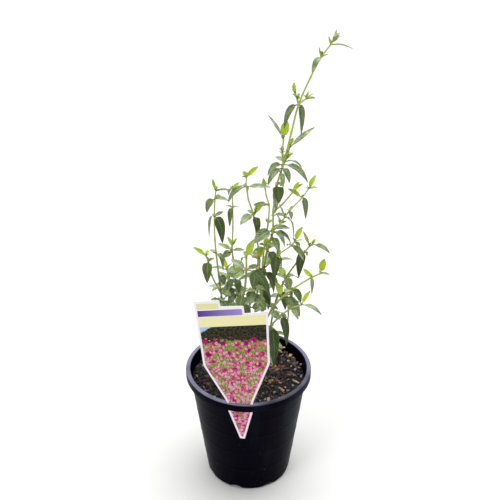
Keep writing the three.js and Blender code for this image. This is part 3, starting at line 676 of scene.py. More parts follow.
# Fertiliser prills: round resin-coated beads, eleven tan ones and a blue-green one. A
# prill is its place, its radius and its finish.
PRILLS = (
    (60.0, 17.5, 1.5, 0), (30.3, 14.7, 1.3, 0), (-36.8, -40.9, 1.5, 0), (52.0, 30.0, 1.2, 0),
    (47.0, 3.0, 1.3, 0), (20.0, 47.0, 1.2, 0), (-52.0, 14.0, 1.4, 0), (-30.0, -22.0, 1.2, 0),
    (40.5, -24.0, 1.3, 0), (5.0, -46.0, 1.3, 0), (-12.0, 50.0, 1.4, 0), (48.6, 13.7, 1.5, 1),
)
PRILL_LIFT = 1.7


def coated_bead(name, hex_colour):
    """Resin-coated bead: waxy, with a slight bloom."""
    material = new_material(name)
    tree = material.node_tree
    place = add_node(tree, "ShaderNodeTexCoord").outputs["Object"]
    cloud = add_node(tree, "ShaderNodeTexNoise", {"Vector": place, "Scale": grains(1.11), "Detail": 3.0})
    bloom = add_node(tree, "ShaderNodeMapRange", {
        "Value": cloud, "From Min": 0.4, "From Max": 0.7, "To Max": 0.5,
    })
    colour = add_node(tree, "ShaderNodeMix", {
        "Factor": bloom, "A": linear(hex_colour), "B": linear("#c9b48e"),
    }, data_type="RGBA")
    bead = add_node(tree, "ShaderNodeBsdfPrincipled", {"Base Color": colour, "Roughness": 0.45})
    add_node(tree, "ShaderNodeOutputMaterial", {"Surface": bead})
    return material


prill_shape = bmesh.new()
for x, y, radius, finish in PRILLS:
    place = Vector((x, y, SOIL_TOP + lump_height(x, y) + PRILL_LIFT)) * MM
    made = bmesh.ops.create_icosphere(
        prill_shape, subdivisions=3, radius=radius * MM, matrix=Matrix.Translation(place),
    )
    for face in {f for v in made["verts"] for f in v.link_faces}:
        face.material_index = finish
        face.smooth = True
prill_mesh = as_mesh("fertiliser_prills", prill_shape)
prill_mesh.materials.append(coated_bead("tan_resin_coated_prill", "#b8976a"))
prill_mesh.materials.append(coated_bead("blue_green_resin_coated_prill", "#0c7d66"))
prills = new_piece("fertiliser_prills", prill_mesh)
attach(prills, "root")


# Plant label
# A stiff white polypropylene card, die cut with a stepped head, sloping shoulders and a
# pointed foot, and printed on its front. Its foot goes down through the slot in the rim.
LABEL_THICK = 0.7
LABEL_LEAN = 3.2
LABEL_BORDER = 2.2
LABEL_BANDS_TILT = 0.078
# Corners of the outline, across and up from the rim's slot, with their rounding
LABEL_CORNERS = (
    (-3.5, -47.0, 1.0), (1.8, -47.5, 1.0), (12.8, -9.0, 3.0), (12.8, 1.0, 3.0),
    (33.3, 53.0, 3.0), (34.0, 115.2, 1.2), (10.9, 112.0, 0.8), (10.2, 120.8, 1.2),
    (-12.5, 119.4, 0.8), (-13.3, 126.6, 1.2), (-39.0, 124.7, 1.2), (-35.5, 48.0, 3.0),
    (-13.9, 1.0, 3.0), (-13.9, -9.0, 3.0),
)
CORNER_STEPS = 5
# The UV map starts at this place on the card and spans this many millimetres
CARD_START = (-50.0, -60.0)
CARD_SPAN = (100.0, 200.0)


def rounded_outline(corners):
    """The outline with each corner replaced by a short curve."""
    points = []
    for i, (x, y, cut) in enumerate(corners):
        here = Vector((x, y))
        before = (Vector(corners[i - 1][:2]) - here).normalized()
        after = (Vector(corners[(i + 1) % len(corners)][:2]) - here).normalized()
        for step in range(CORNER_STEPS + 1):
            t = step / CORNER_STEPS
            points.append(here + before * cut * (1 - t) ** 2 + after * cut * t ** 2)
    return points


def set_in(corners, border):
    """The corners of the printed area, a border's width inside the card's."""
    inner = []
    for i, (x, y, cut) in enumerate(corners):
        here = Vector((x, y))
        come = (here - Vector(corners[i - 1][:2])).normalized()
        leave = (Vector(corners[(i + 1) % len(corners)][:2]) - here).normalized()
        inward = come.orthogonal() + leave.orthogonal()
        spot = here + inward * border / (1 + come.dot(leave))
        inner.append((spot.x, spot.y, cut))
    return inner


label_shape = bmesh.new()
card_edge = rounded_outline(LABEL_CORNERS)
print_edge = rounded_outline(set_in(LABEL_CORNERS, LABEL_BORDER))
back, front, printed_edge = (
    [label_shape.verts.new((p.x * MM, p.y * MM, height * MM)) for p in edge]
    for edge, height in (
        (card_edge, -LABEL_THICK / 2), (card_edge, LABEL_THICK / 2), (print_edge, LABEL_THICK / 2),
    )
)
label_shape.faces.new(back)
front_face = label_shape.faces.new(printed_edge)
front_face.material_index = 1
bridged(label_shape, (back, front, printed_edge))
bmesh.ops.recalc_face_normals(label_shape, faces=label_shape.faces)
uv = label_shape.loops.layers.uv.new("card")
for face in label_shape.faces:
    for loop in face.loops:
        loop[uv].uv = [(loop.vert.co[i] / MM - CARD_START[i]) / CARD_SPAN[i] for i in (0, 1)]
on_card = Matrix.Rotation(math.radians(LABEL_LEAN), 4, "Z")
stand_up = Matrix.Rotation(math.pi / 2, 4, "Z") @ Matrix.Rotation(math.pi / 2, 4, "X")
in_slot = to_label @ Matrix.Translation(Vector((LABEL_RADIUS, 0, POT_HEIGHT)) * MM)
bmesh.ops.transform(label_shape, matrix=in_slot @ stand_up @ on_card, verts=label_shape.verts)
label = new_piece("printed_plant_label", as_mesh("printed_plant_label", label_shape))

# White polypropylene sheet: smooth, slightly glossy and a little scuffed
white_card = new_material("white_polypropylene_sheet")
tree = white_card.node_tree
place = add_node(tree, "ShaderNodeTexCoord").outputs["Object"]
scuff = add_node(tree, "ShaderNodeTexNoise", {"Vector": place, "Scale": grains(11.1), "Detail": 4.0})
card_colour = add_node(tree, "ShaderNodeMix", {
    "Factor": scuff, "A": linear("#f3eef4"), "B": linear("#e6dfe8"),
}, data_type="RGBA")
card_roughness = add_node(tree, "ShaderNodeMapRange", {"Value": scuff, "To Min": 0.25, "To Max": 0.45})
card = add_node(tree, "ShaderNodeBsdfPrincipled", {
    "Base Color": card_colour, "Roughness": card_roughness,
})
add_node(tree, "ShaderNodeOutputMaterial", {"Surface": card})

# Print under clear varnish: a bare cream tab, a bare band that runs from purple to
# lavender, a bare cream band, and below them a drift of round pink blossoms on green.
# A band is its foot, its head and its right-hand end.
PRINT_TAB = (118.2, 124.8, -14.8)
PRINT_PURPLE = (109.8, 116.9, 8.8)
PRINT_CREAM = (97.3, 109.0, 60.0)
PRINT_LAVENDER_FADE = (-36.0, 9.0)
PRINT_HEDGE_FOOT = 80.0
PRINT_HEDGE_WAVE = 22.0
PRINT_SKY_EDGE = 127.0
PRINT_SKY_WAVE = 14.0
PRINT_SKY_SLOPE = 0.9
PRINT_SOFTNESS = 2.0
PRINT_PETAL_RAG = 0.7
print_finish = new_material("offset_print_under_varnish")
tree = print_finish.node_tree
card_uv = add_node(tree, "ShaderNodeUVMap", uv_map="card")
# Back from the UV map to millimetres across and up
in_mm = add_node(tree, "ShaderNodeMapping", {
    "Vector": card_uv, "Location": (*CARD_START, 0), "Scale": (*CARD_SPAN, 1),
})
across_up = add_node(tree, "ShaderNodeSeparateXYZ", {"Vector": in_mm})
across = across_up.outputs["X"]
tilted = add_node(tree, "ShaderNodeMath", {
    0: across, 1: -LABEL_BANDS_TILT, 2: across_up.outputs["Y"],
}, operation="MULTIPLY_ADD")


def band_mask(foot, head, right):
    """One where the print lies between two heights and left of a line."""
    above = add_node(tree, "ShaderNodeMath", {0: tilted, 1: foot}, operation="GREATER_THAN")
    below = add_node(tree, "ShaderNodeMath", {0: tilted, 1: head}, operation="LESS_THAN")
    left = add_node(tree, "ShaderNodeMath", {0: across, 1: right}, operation="LESS_THAN")
    both = add_node(tree, "ShaderNodeMath", {0: above, 1: below}, operation="MULTIPLY")
    return add_node(tree, "ShaderNodeMath", {0: both, 1: left}, operation="MULTIPLY")


# Grass: thin upright blades, pale over dark
grass_place = add_node(tree, "ShaderNodeMapping", {"Vector": in_mm, "Scale": (1.3, 0.3, 1)})
grass_blades = add_node(tree, "ShaderNodeTexNoise", {"Vector": grass_place, "Scale": 1.0, "Detail": 4.0})
grass = add_node(tree, "ShaderNodeMapRange", {"Value": grass_blades, "From Min": 0.38, "From Max": 0.62})
meadow = add_node(tree, "ShaderNodeMix", {
    "Factor": grass, "A": linear("#4a5522"), "B": linear("#a9b15f"),
}, data_type="RGBA")
# Hedge: dark leaf masses with an uneven foot, and a little pale sky over its left end
hedge_wave = add_node(tree, "ShaderNodeTexNoise", {"Vector": in_mm, "Scale": 0.12, "Detail": 4.0})
hedge_edge = add_node(tree, "ShaderNodeMath", {
    0: hedge_wave, 1: -PRINT_HEDGE_WAVE, 2: tilted,
}, operation="MULTIPLY_ADD")
mean_edge = PRINT_HEDGE_FOOT - PRINT_HEDGE_WAVE / 2
hedge_share = add_node(tree, "ShaderNodeMapRange", {
    "Value": hedge_edge, "From Min": mean_edge - PRINT_SOFTNESS, "From Max": mean_edge,
})
hedge_leaves = add_node(tree, "ShaderNodeTexNoise", {"Vector": in_mm, "Scale": 0.45, "Detail": 4.0})
hedge_light = add_node(tree, "ShaderNodeMapRange", {
    "Value": hedge_leaves, "From Min": 0.4, "From Max": 0.68,
})
hedge_colour = add_node(tree, "ShaderNodeMix", {
    "Factor": hedge_light, "A": linear("#0b0c07"), "B": linear("#464329"),
}, data_type="RGBA")
with_hedge = add_node(tree, "ShaderNodeMix", {
    "Factor": hedge_share, "A": meadow, "B": hedge_colour,
}, data_type="RGBA")
sky_slope = add_node(tree, "ShaderNodeMath", {
    0: across, 1: -PRINT_SKY_SLOPE, 2: tilted,
}, operation="MULTIPLY_ADD")
sky_edge = add_node(tree, "ShaderNodeMath", {
    0: hedge_wave, 1: PRINT_SKY_WAVE, 2: sky_slope,
}, operation="MULTIPLY_ADD")
sky_share = add_node(tree, "ShaderNodeMapRange", {
    "Value": sky_edge, "From Min": PRINT_SKY_EDGE, "From Max": PRINT_SKY_EDGE + PRINT_SOFTNESS,
})
with_sky = add_node(tree, "ShaderNodeMix", {
    "Factor": sky_share, "A": with_hedge, "B": linear("#a9bfe0"),
}, data_type="RGBA")
# Blossoms: round heads in three sizes, crowded low down and thinning towards the hedge
below_hedge = add_node(tree, "ShaderNodeMapRange", {
    "Value": tilted, "From Min": PRINT_HEDGE_FOOT - 2, "From Max": PRINT_HEDGE_FOOT + 5,
    "To Min": 1.0, "To Max": 0.0,
})
ragged = add_node(tree, "ShaderNodeTexNoise", {"Vector": in_mm, "Scale": 1.5, "Detail": 3.0})
picture = with_sky
for heads_per_mm, crowd_at_hedge, dark_petal, pale_petal, shift in (
    (0.12, 0.55, "#3d0f28", "#c01468", 0.0), (0.2, 0.4, "#86104c", "#dd4a92", 31.0),
    (0.3, 0.22, "#cf1c78", "#f2b8d6", 57.0),
):
    shifted = add_node(tree, "ShaderNodeVectorMath", {
        0: in_mm, 1: (shift, shift, 0),
    }, operation="ADD")
    head = add_node(tree, "ShaderNodeTexVoronoi", {
        "Vector": shifted, "Scale": heads_per_mm, "Randomness": 0.85,
    })
    own = add_node(tree, "ShaderNodeSeparateColor", {"Color": head.outputs["Color"]})
    crowd = add_node(tree, "ShaderNodeMapRange", {
        "Value": tilted, "From Min": 0.0, "From Max": PRINT_HEDGE_FOOT,
        "To Min": 0.95, "To Max": crowd_at_hedge,
    })
    thinned = add_node(tree, "ShaderNodeMath", {0: crowd, 1: below_hedge}, operation="MULTIPLY")
    kept = add_node(tree, "ShaderNodeMath", {0: own.outputs["Red"], 1: thinned}, operation="LESS_THAN")
    petal_edge = add_node(tree, "ShaderNodeMath", {
        0: ragged, 1: PRINT_PETAL_RAG, 2: head.outputs["Distance"],
    }, operation="MULTIPLY_ADD")
    disc = add_node(tree, "ShaderNodeMapRange", {
        "Value": petal_edge, "From Min": 0.85, "From Max": 0.8, "To Min": 0.0, "To Max": 1.0,
    })
    share = add_node(tree, "ShaderNodeMath", {0: disc, 1: kept}, operation="MULTIPLY")
    shade = add_node(tree, "ShaderNodeMapRange", {"Value": petal_edge, "From Min": 0.4, "From Max": 0.85})
    petals = add_node(tree, "ShaderNodeMix", {
        "Factor": shade, "A": linear(dark_petal), "B": linear(pale_petal),
    }, data_type="RGBA")
    picture = add_node(tree, "ShaderNodeMix", {
        "Factor": share, "A": picture, "B": petals,
    }, data_type="RGBA")
# The bands cover the picture's head. The sheet shows white between them.
above_picture = add_node(tree, "ShaderNodeMath", {0: tilted, 1: PRINT_CREAM[0]}, operation="GREATER_THAN")
printed = add_node(tree, "ShaderNodeMix", {
    "Factor": above_picture, "A": picture, "B": linear("#efeaf0"),
}, data_type="RGBA")
lavender_share = add_node(tree, "ShaderNodeMapRange", {
    "Value": across, "From Min": PRINT_LAVENDER_FADE[0], "From Max": PRINT_LAVENDER_FADE[1],
})
purple = add_node(tree, "ShaderNodeMix", {
    "Factor": lavender_share, "A": linear("#5b2d8a"), "B": linear("#9a8cc6"),
}, data_type="RGBA")
for (foot, head, right), ink in (
    (PRINT_TAB, linear("#dfdca3")), (PRINT_PURPLE, purple), (PRINT_CREAM, linear("#ebe5ae")),
):
    printed = add_node(tree, "ShaderNodeMix", {
        "Factor": band_mask(foot, head, right), "A": printed, "B": ink,
    }, data_type="RGBA")
varnish = add_node(tree, "ShaderNodeBsdfPrincipled", {
    "Base Color": printed, "Roughness": 0.35, "Specular IOR Level": 0.12,
})
add_node(tree, "ShaderNodeOutputMaterial", {"Surface": varnish})
label.data.materials.append(white_card)
label.data.materials.append(print_finish)
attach(label, "root")
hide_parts("plant_label")


# Tall stem
# The leader of the plant: one square stalk with opposite leaves and short side shoots,
# soft and downy, grown in one piece. Its foot stands in the potting mix.

# The blade: its outline, fold and ripple, and how it bends out, droops and lifts
LEAF_ROWS = 46
LEAF_COLUMNS = 9
LEAF_THICK = 0.45
LEAF_FOLD = 0.3
FOLD_OPENS = 0.12
PETIOLE_SHARE = 0.16
PETIOLE_WIDTH = 1.2
PETIOLE_POINT = 0.03
PETIOLE_FADE = 0.35
OUTLINE_SKEW = 0.7
OUTLINE_BLUNT = 0.75
LEAF_TEETH = 11.0
TOOTH_DEPTH = 0.06
TOOTH_ROUND = 0.6
EDGE_RIPPLE = 0.06
RIPPLE_WAVES = 15.0
RIPPLE_LAG = 1.3
MARGIN_RADIANS = 1.2
BEND_OUT = 0.5
BEND_DROOP = 0.45
BEND_LEAST = 0.25
BEND_RISE = 0.5
BEND_LIFT = 0.08

# The stalk, swollen a little at each node
STALK_STEPS = 7
STALK_CORNER = 0.3
NODE_SWELL = 0.28
NODE_SWELL_REACH = 2.2
ROOT_DEPTH = 22.0

# How young a leaf looks, by its length, its rise and its height on the stem
YOUNG_LENGTH = 19.0
GROWN_LENGTH = 25.0
RISE_GREEN = 0.15
RISE_LIME = 0.4
YOUTH_LEAST = 0.12
YOUTH_AT_FOOT = 0.25

# How pale it is: broad hanging leaves are darker, and low ones paler
LEAF_TONE = 0.6
TONE_SPREAD = 0.4
DROOP_TONE = 1.7
NARROW_LEAF = 4.0
BROAD_LEAF = 9.0
BREADTH_LEAST = 0.2
LOW_LEAVES = 235.0
LOW_FADE = 60.0
LOW_TONE = 0.7

# Leaflets in the leaf joints and at the tips
LEAFLET_LENGTH = (3.0, 7.5)
LEAFLET_RISE = (15.0, 75.0)
LEAFLET_SLIM = 0.42
JOINT_LEAFLETS = 2
TIP_LEAFLETS = 5
TIP_LEAFLET_SCALE = 0.75


def leaf_tree():
    """Geometry nodes that grow one blade from each point: a thin grid with an upper and
    a lower face, drawn out along a bent midrib, with a petiole, a folded lamina, rounded
    teeth and a rippled edge."""
    tree, given = new_tree("leaf blades", (
        ("Leaf Bases", "Geometry"), ("Rows", "Int"), ("Columns", "Int"), ("Teeth", "Float"),
        ("Tooth Depth", "Float"), ("Petiole Share", "Float"), ("Petiole Width", "Float"),
        ("Thickness", "Float"), ("Fold", "Float"), ("Ripple", "Float"), ("Finish", "Material"),
    ), "Blades")

    # The flat grid, -1 to 1 across and 0 to 1 along, once for each side of the blade
    grid = add_node(tree, "GeometryNodeMeshGrid", {
        "Size X": 2.0, "Size Y": 1.0, "Vertices X": given["Columns"], "Vertices Y": given["Rows"],
    })
    spot = add_node(tree, "ShaderNodeSeparateXYZ", {
        0: add_node(tree, "GeometryNodeInputPosition"),
    }).outputs
    along = add_node(tree, "ShaderNodeMath", {0: spot["Y"], 1: 0.5}, operation="ADD")
    marked = grid
    for name, value in (("across", spot["X"]), ("share", along)):
        marked = add_node(tree, "GeometryNodeStoreNamedAttribute", {
            "Geometry": marked, "Name": name, "Value": value,
        }, data_type="FLOAT", domain="POINT")
    blank = add_node(tree, "GeometryNodeJoinGeometry")
    turned_over = add_node(tree, "GeometryNodeFlipFaces", {"Mesh": marked})
    for side, facing in ((marked, 1.0), (turned_over, -1.0)):
        face = add_node(tree, "GeometryNodeStoreNamedAttribute", {
            "Geometry": side, "Name": "side_up", "Value": facing,
        }, data_type="FLOAT", domain="POINT")
        tree.links.new(face.outputs[0], blank.inputs[0])
    rooted = add_node(tree, "GeometryNodeStoreNamedAttribute", {
        "Geometry": given["Leaf Bases"], "Name": "base",
        "Value": add_node(tree, "GeometryNodeInputPosition"),
    }, data_type="FLOAT_VECTOR", domain="POINT")
    placed = add_node(tree, "GeometryNodeInstanceOnPoints", {"Points": rooted, "Instance": blank})
    blades = add_node(tree, "GeometryNodeRealizeInstances", {"Geometry": placed})

    read = {
        name: add_node(tree, "GeometryNodeInputNamedAttribute", {"Name": name}, data_type=kind)
        for name, kind in (
            ("across", "FLOAT"), ("share", "FLOAT"), ("side_up", "FLOAT"), ("breadth", "FLOAT"),
            ("roll", "FLOAT"), ("tone", "FLOAT"), ("base", "FLOAT_VECTOR"), ("reach", "FLOAT_VECTOR"),
            ("bend", "FLOAT_VECTOR"), ("level", "FLOAT_VECTOR"),
        )
    }

    # Half width: the lamina's outline with its teeth, or the petiole where that is wider
    blade_share = add_node(tree, "ShaderNodeMapRange", {
        "Value": read["share"], "From Min": given["Petiole Share"], "From Max": 1.0,
    })
    skewed = add_node(tree, "ShaderNodeMath", {0: blade_share, 1: OUTLINE_SKEW}, operation="POWER")
    half_turn = add_node(tree, "ShaderNodeMath", {0: skewed, 1: math.pi}, operation="MULTIPLY")
    swell_wave = add_node(tree, "ShaderNodeMath", {0: half_turn}, operation="SINE")
    swell = add_node(tree, "ShaderNodeMath", {0: swell_wave, 1: 0.0}, operation="MAXIMUM")
    outline_share = add_node(tree, "ShaderNodeMath", {0: swell, 1: OUTLINE_BLUNT}, operation="POWER")
    tooth_turns = add_node(tree, "ShaderNodeMath", {
        0: blade_share, 1: given["Teeth"],
    }, operation="MULTIPLY")
    tooth_angle = add_node(tree, "ShaderNodeMath", {0: tooth_turns, 1: math.pi}, operation="MULTIPLY")
    tooth_swing = add_node(tree, "ShaderNodeMath", {0: tooth_angle}, operation="SINE")
    tooth_wave = add_node(tree, "ShaderNodeMath", {0: tooth_swing}, operation="ABSOLUTE")
    lobe = add_node(tree, "ShaderNodeMath", {0: tooth_wave, 1: TOOTH_ROUND}, operation="POWER")
    notch_floor = add_node(tree, "ShaderNodeMath", {
        0: 1.0, 1: given["Tooth Depth"],
    }, operation="SUBTRACT")
    toothed = add_node(tree, "ShaderNodeMapRange", {"Value": lobe, "To Min": notch_floor, "To Max": 1.0})
    blade_half = read["breadth"]
    for share in (0.5, outline_share, toothed):
        blade_half = add_node(tree, "ShaderNodeMath", {0: blade_half, 1: share}, operation="MULTIPLY")
    to_blade = add_node(tree, "ShaderNodeMapRange", {
        "Value": blade_share, "From Max": PETIOLE_FADE, "To Min": 1.0, "To Max": 0.0,
    })
    petiole_half = add_node(tree, "ShaderNodeMapRange", {
        "Value": read["share"], "From Max": PETIOLE_POINT,
    })
    for share in (to_blade, 0.5, given["Petiole Width"]):
        petiole_half = add_node(tree, "ShaderNodeMath", {
            0: petiole_half, 1: share,
        }, operation="MULTIPLY")
    half = add_node(tree, "ShaderNodeMath", {0: blade_half, 1: petiole_half}, operation="MAXIMUM")

    # Height over the midrib: the fold, the rippled margin, and half the thickness
    off_middle = add_node(tree, "ShaderNodeMath", {0: read["across"]}, operation="ABSOLUTE")
    sideways = add_node(tree, "ShaderNodeMath", {0: read["across"], 1: half}, operation="MULTIPLY")
    distance = add_node(tree, "ShaderNodeMath", {0: off_middle, 1: half}, operation="MULTIPLY")
    opened = add_node(tree, "ShaderNodeMapRange", {"Value": blade_share, "From Max": FOLD_OPENS})
    fold = distance
    for share in (given["Fold"], opened):
        fold = add_node(tree, "ShaderNodeMath", {0: fold, 1: share}, operation="MULTIPLY")
    ripple_turns = add_node(tree, "ShaderNodeMath", {
        0: blade_share, 1: RIPPLE_WAVES, 2: read["tone"],
    }, operation="MULTIPLY_ADD")
    side_shift = add_node(tree, "ShaderNodeMath", {
        0: read["across"], 1: RIPPLE_LAG, 2: ripple_turns,
    }, operation="MULTIPLY_ADD")
    ripple_wave = add_node(tree, "ShaderNodeMath", {0: side_shift}, operation="SINE")
    ripple_size = distance
    for share in (off_middle, given["Ripple"]):
        ripple_size = add_node(tree, "ShaderNodeMath", {0: ripple_size, 1: share}, operation="MULTIPLY")
    ripple = add_node(tree, "ShaderNodeMath", {
        0: ripple_wave, 1: ripple_size, 2: fold,
    }, operation="MULTIPLY_ADD")
    lens = add_node(tree, "ShaderNodeMath", {0: off_middle, 1: -1.0, 2: 1.0}, operation="MULTIPLY_ADD")
    lens_more = add_node(tree, "ShaderNodeMath", {0: off_middle, 1: 1.0}, operation="ADD")
    lens_square = add_node(tree, "ShaderNodeMath", {0: lens, 1: lens_more}, operation="MULTIPLY")
    lens_inside = add_node(tree, "ShaderNodeMath", {0: lens_square, 1: 0.0}, operation="MAXIMUM")
    bulge = add_node(tree, "ShaderNodeMath", {0: lens_inside}, operation="SQRT")
    blade_body = add_node(tree, "ShaderNodeMath", {0: given["Thickness"], 1: 0.5}, operation="MULTIPLY")
    thinned = add_node(tree, "ShaderNodeMath", {0: blade_body, 1: half}, operation="MINIMUM")
    body = add_node(tree, "ShaderNodeMath", {0: thinned, 1: petiole_half}, operation="MAXIMUM")
    body_side = add_node(tree, "ShaderNodeMath", {0: body, 1: read["side_up"]}, operation="MULTIPLY")
    rise = add_node(tree, "ShaderNodeMath", {0: body_side, 1: bulge, 2: ripple}, operation="MULTIPLY_ADD")

    # The bent midrib, and the directions across the blade and out of its upper face
    early = add_node(tree, "ShaderNodeVectorMath", {
        0: read["bend"], "Scale": read["share"],
    }, operation="SCALE")
    late = add_node(tree, "ShaderNodeMix", {
        "Factor": read["share"], "A": read["bend"], "B": read["reach"],
    }, data_type="VECTOR", factor_mode="UNIFORM", clamp_factor=True)
    midrib = add_node(tree, "ShaderNodeMix", {
        "Factor": read["share"], "A": early, "B": late,
    }, data_type="VECTOR", factor_mode="UNIFORM", clamp_factor=True)
    second_leg = add_node(tree, "ShaderNodeVectorMath", {
        0: read["reach"], 1: read["bend"],
    }, operation="SUBTRACT")
    heading = add_node(tree, "ShaderNodeMix", {
        "Factor": read["share"], "A": read["bend"], "B": second_leg,
    }, data_type="VECTOR", factor_mode="UNIFORM", clamp_factor=True)
    forward = add_node(tree, "ShaderNodeVectorMath", {0: heading}, operation="NORMALIZE")
    sideward = add_node(tree, "ShaderNodeVectorRotate", {
        "Vector": read["level"], "Axis": forward, "Angle": read["roll"],
    }, rotation_type="AXIS_ANGLE")
    upward = add_node(tree, "ShaderNodeVectorMath", {
        0: add_node(tree, "ShaderNodeVectorMath", {0: sideward, 1: forward}, operation="CROSS_PRODUCT"),
    }, operation="NORMALIZE")
    step_side = add_node(tree, "ShaderNodeVectorMath", {
        0: sideward, "Scale": sideways,
    }, operation="SCALE")
    step_up = add_node(tree, "ShaderNodeVectorMath", {0: upward, "Scale": rise}, operation="SCALE")
    skin_place = read["base"]
    for step in (midrib, step_side, step_up):
        skin_place = add_node(tree, "ShaderNodeVectorMath", {0: skin_place, 1: step}, operation="ADD")
    shaped = add_node(tree, "GeometryNodeSetPosition", {"Geometry": blades, "Position": skin_place})

    # One closed skin with a crisp margin
    closed = add_node(tree, "GeometryNodeMergeByDistance", {"Geometry": shaped, "Distance": 0.001 * MM})
    smooth = add_node(tree, "GeometryNodeSetShadeSmooth", {"Geometry": closed, "Shade Smooth": True})
    bend_angle = add_node(tree, "GeometryNodeInputMeshEdgeAngle").outputs["Unsigned Angle"]
    is_margin = add_node(tree, "FunctionNodeCompare", {
        "A": bend_angle, "B": MARGIN_RADIANS,
    }, operation="GREATER_THAN")
    crisp = add_node(tree, "GeometryNodeSetShadeSmooth", {
        "Geometry": smooth, "Selection": is_margin, "Shade Smooth": False,
    }, domain="EDGE")
    finished = add_node(tree, "GeometryNodeSetMaterial", {"Geometry": crisp, "Material": given["Finish"]})
    add_node(tree, "NodeGroupOutput", {"Blades": finished})
    return tree


def stalk_tree():
    """Geometry nodes that give a line a square section with rounded corners, as wide as
    each point's girth says."""
    tree, given = new_tree("square stalks", (
        ("Lines", "Geometry"), ("Corner", "Float"), ("Finish", "Material"),
    ), "Stalks")
    line = add_node(tree, "GeometryNodeMeshToCurve", {"Mesh": given["Lines"]})
    square = add_node(tree, "GeometryNodeCurvePrimitiveQuadrilateral", {
        "Width": math.sqrt(2), "Height": math.sqrt(2),
    })
    section = add_node(tree, "GeometryNodeFilletCurve", {
        "Curve": square, "Radius": given["Corner"], "Count": 3,
    }, mode="POLY")
    girth = add_node(tree, "GeometryNodeInputNamedAttribute", {"Name": "girth"}, data_type="FLOAT")
    stalk = add_node(tree, "GeometryNodeCurveToMesh", {
        "Curve": line, "Profile Curve": section, "Scale": girth, "Fill Caps": True,
    })
    smooth = add_node(tree, "GeometryNodeSetShadeSmooth", {"Geometry": stalk, "Shade Smooth": True})
    finished = add_node(tree, "GeometryNodeSetMaterial", {
        "Geometry": smooth, "Material": given["Finish"],
    })
    add_node(tree, "NodeGroupOutput", {"Stalks": finished})
    return tree


def on_stem(nodes, position):
    """The point at a node number, whole or between two, on the smooth line through the
    nodes (a centripetal Catmull-Rom spline)."""
    i = min(int(position), len(nodes) - 2)
    w = position - i
    b, c = nodes[i], nodes[i + 1]
    a = nodes[i - 1] if i > 0 else 2 * b - c
    d = nodes[i + 2] if i + 2 < len(nodes) else 2 * c - b
    ab, bc, cd = (math.sqrt((q - p).length) for p, q in ((a, b), (b, c), (c, d)))
    leave = ((b - a) / ab - (c - a) / (ab + bc) + (c - b) / bc) * bc
    arrive = ((c - b) / bc - (d - b) / (bc + cd) + (d - c) / cd) * bc
    return (
        b * (2 * w ** 3 - 3 * w ** 2 + 1) + leave * (w ** 3 - 2 * w ** 2 + w)
        + c * (3 * w ** 2 - 2 * w ** 3) + arrive * (w ** 3 - w ** 2)
    )


def stalk_lines(name, shoots):
    """The middle lines of a stem and its side shoots, with their girth at each point."""
    points, edges, girths = [], [], []
    for number, shoot in enumerate(shoots):
        nodes = [Vector(p) for p in shoot["path"]]
        last = len(nodes) - 1
        if number == 0:
            points.append(nodes[0] - Vector((0, 0, ROOT_DEPTH)))
            girths.append(shoot["girth"][0])
            edges.append((len(points) - 1, len(points)))
        for i in range(last * STALK_STEPS + 1):
            at = i / STALK_STEPS
            here = on_stem(nodes, at)
            taper = shoot["girth"][0] + (shoot["girth"][1] - shoot["girth"][0]) * at / last
            nearest = min((here - node).length for node in nodes[1:])
            swell = NODE_SWELL * math.exp(-(nearest / NODE_SWELL_REACH) ** 2)
            points.append(here)
            girths.append(taper * (1 + swell))
            if i:
                edges.append((len(points) - 2, len(points) - 1))
    mesh = bpy.data.meshes.new(name)
    mesh.from_pydata([p * MM for p in points], edges, [])
    girth = mesh.attributes.new("girth", "FLOAT", "POINT")
    girth.data.foreach_set("value", [g * MM for g in girths])
    return mesh


def leaf_row(base, reach, width, turn, tone, youth):
    """What one blade's shape and colour follow from."""
    flat = math.hypot(reach.x, reach.y)
    droop = max(-reach.z, 0) / reach.length
    outward = max((BEND_OUT + BEND_DROOP * droop ** 2) * flat, BEND_LEAST * reach.length) / flat
    lift = max(BEND_RISE * reach.z, 0) + BEND_LIFT * reach.length
    return {
        "base": base, "reach": reach, "bend": Vector((reach.x * outward, reach.y * outward, lift)),
        "level": Vector((reach.y, -reach.x, 0)) / (flat * MM), "breadth": width,
        "roll": -math.radians(turn) * (1 if reach.x < 0 else -1), "tone": tone, "youth": youth,
    }


def pointing(azimuth, length, rise):
    """A reach of that length at an azimuth, rising by an angle."""
    a, r = math.radians(azimuth), math.radians(rise)
    return length * Vector((math.cos(r) * math.cos(a), math.cos(r) * math.sin(a), math.sin(r)))


def held(value, least=0.0):
    """The value, held between the least it may be and one."""
    return min(max(value, least), 1)


def leaves_of(shoots, draw):
    """The blades of a stem, each with its own tone: the broad hanging ones are darker,
    the short upright ones young and yellow-green."""
    rows = []
    for shoot in shoots:
        nodes = [Vector(p) for p in shoot["path"]]
        listed = [(row[0], Vector(row[1:4]), row[4], row[5]) for row in shoot["leaves"]]
        for node, azimuth, length, width, rise in shoot.get("lower", ()):
            listed.append((node, pointing(azimuth, length, rise), width, 0))
        for node, reach, width, turn in listed:
            short = held((GROWN_LENGTH - reach.length) / (GROWN_LENGTH - YOUNG_LENGTH))
            upright = held((reach.z / reach.length - RISE_GREEN) / RISE_LIME, YOUTH_LEAST)
            high = YOUTH_AT_FOOT + (1 - YOUTH_AT_FOOT) * node / (len(nodes) - 1)
            youth = short * upright * high
            droop = max(-reach.z, 0) / reach.length
            broad = held((width - NARROW_LEAF) / (BROAD_LEAF - NARROW_LEAF), BREADTH_LEAST)
            base = on_stem(nodes, node)
            low = held((LOW_LEAVES - base.z) / LOW_FADE)
            tone = LEAF_TONE + TONE_SPREAD * draw.uniform(-1, 1) - DROOP_TONE * broad * droop ** 2
            rows.append(leaf_row(base, reach, width, turn, tone + LOW_TONE * low, youth))
    return rows


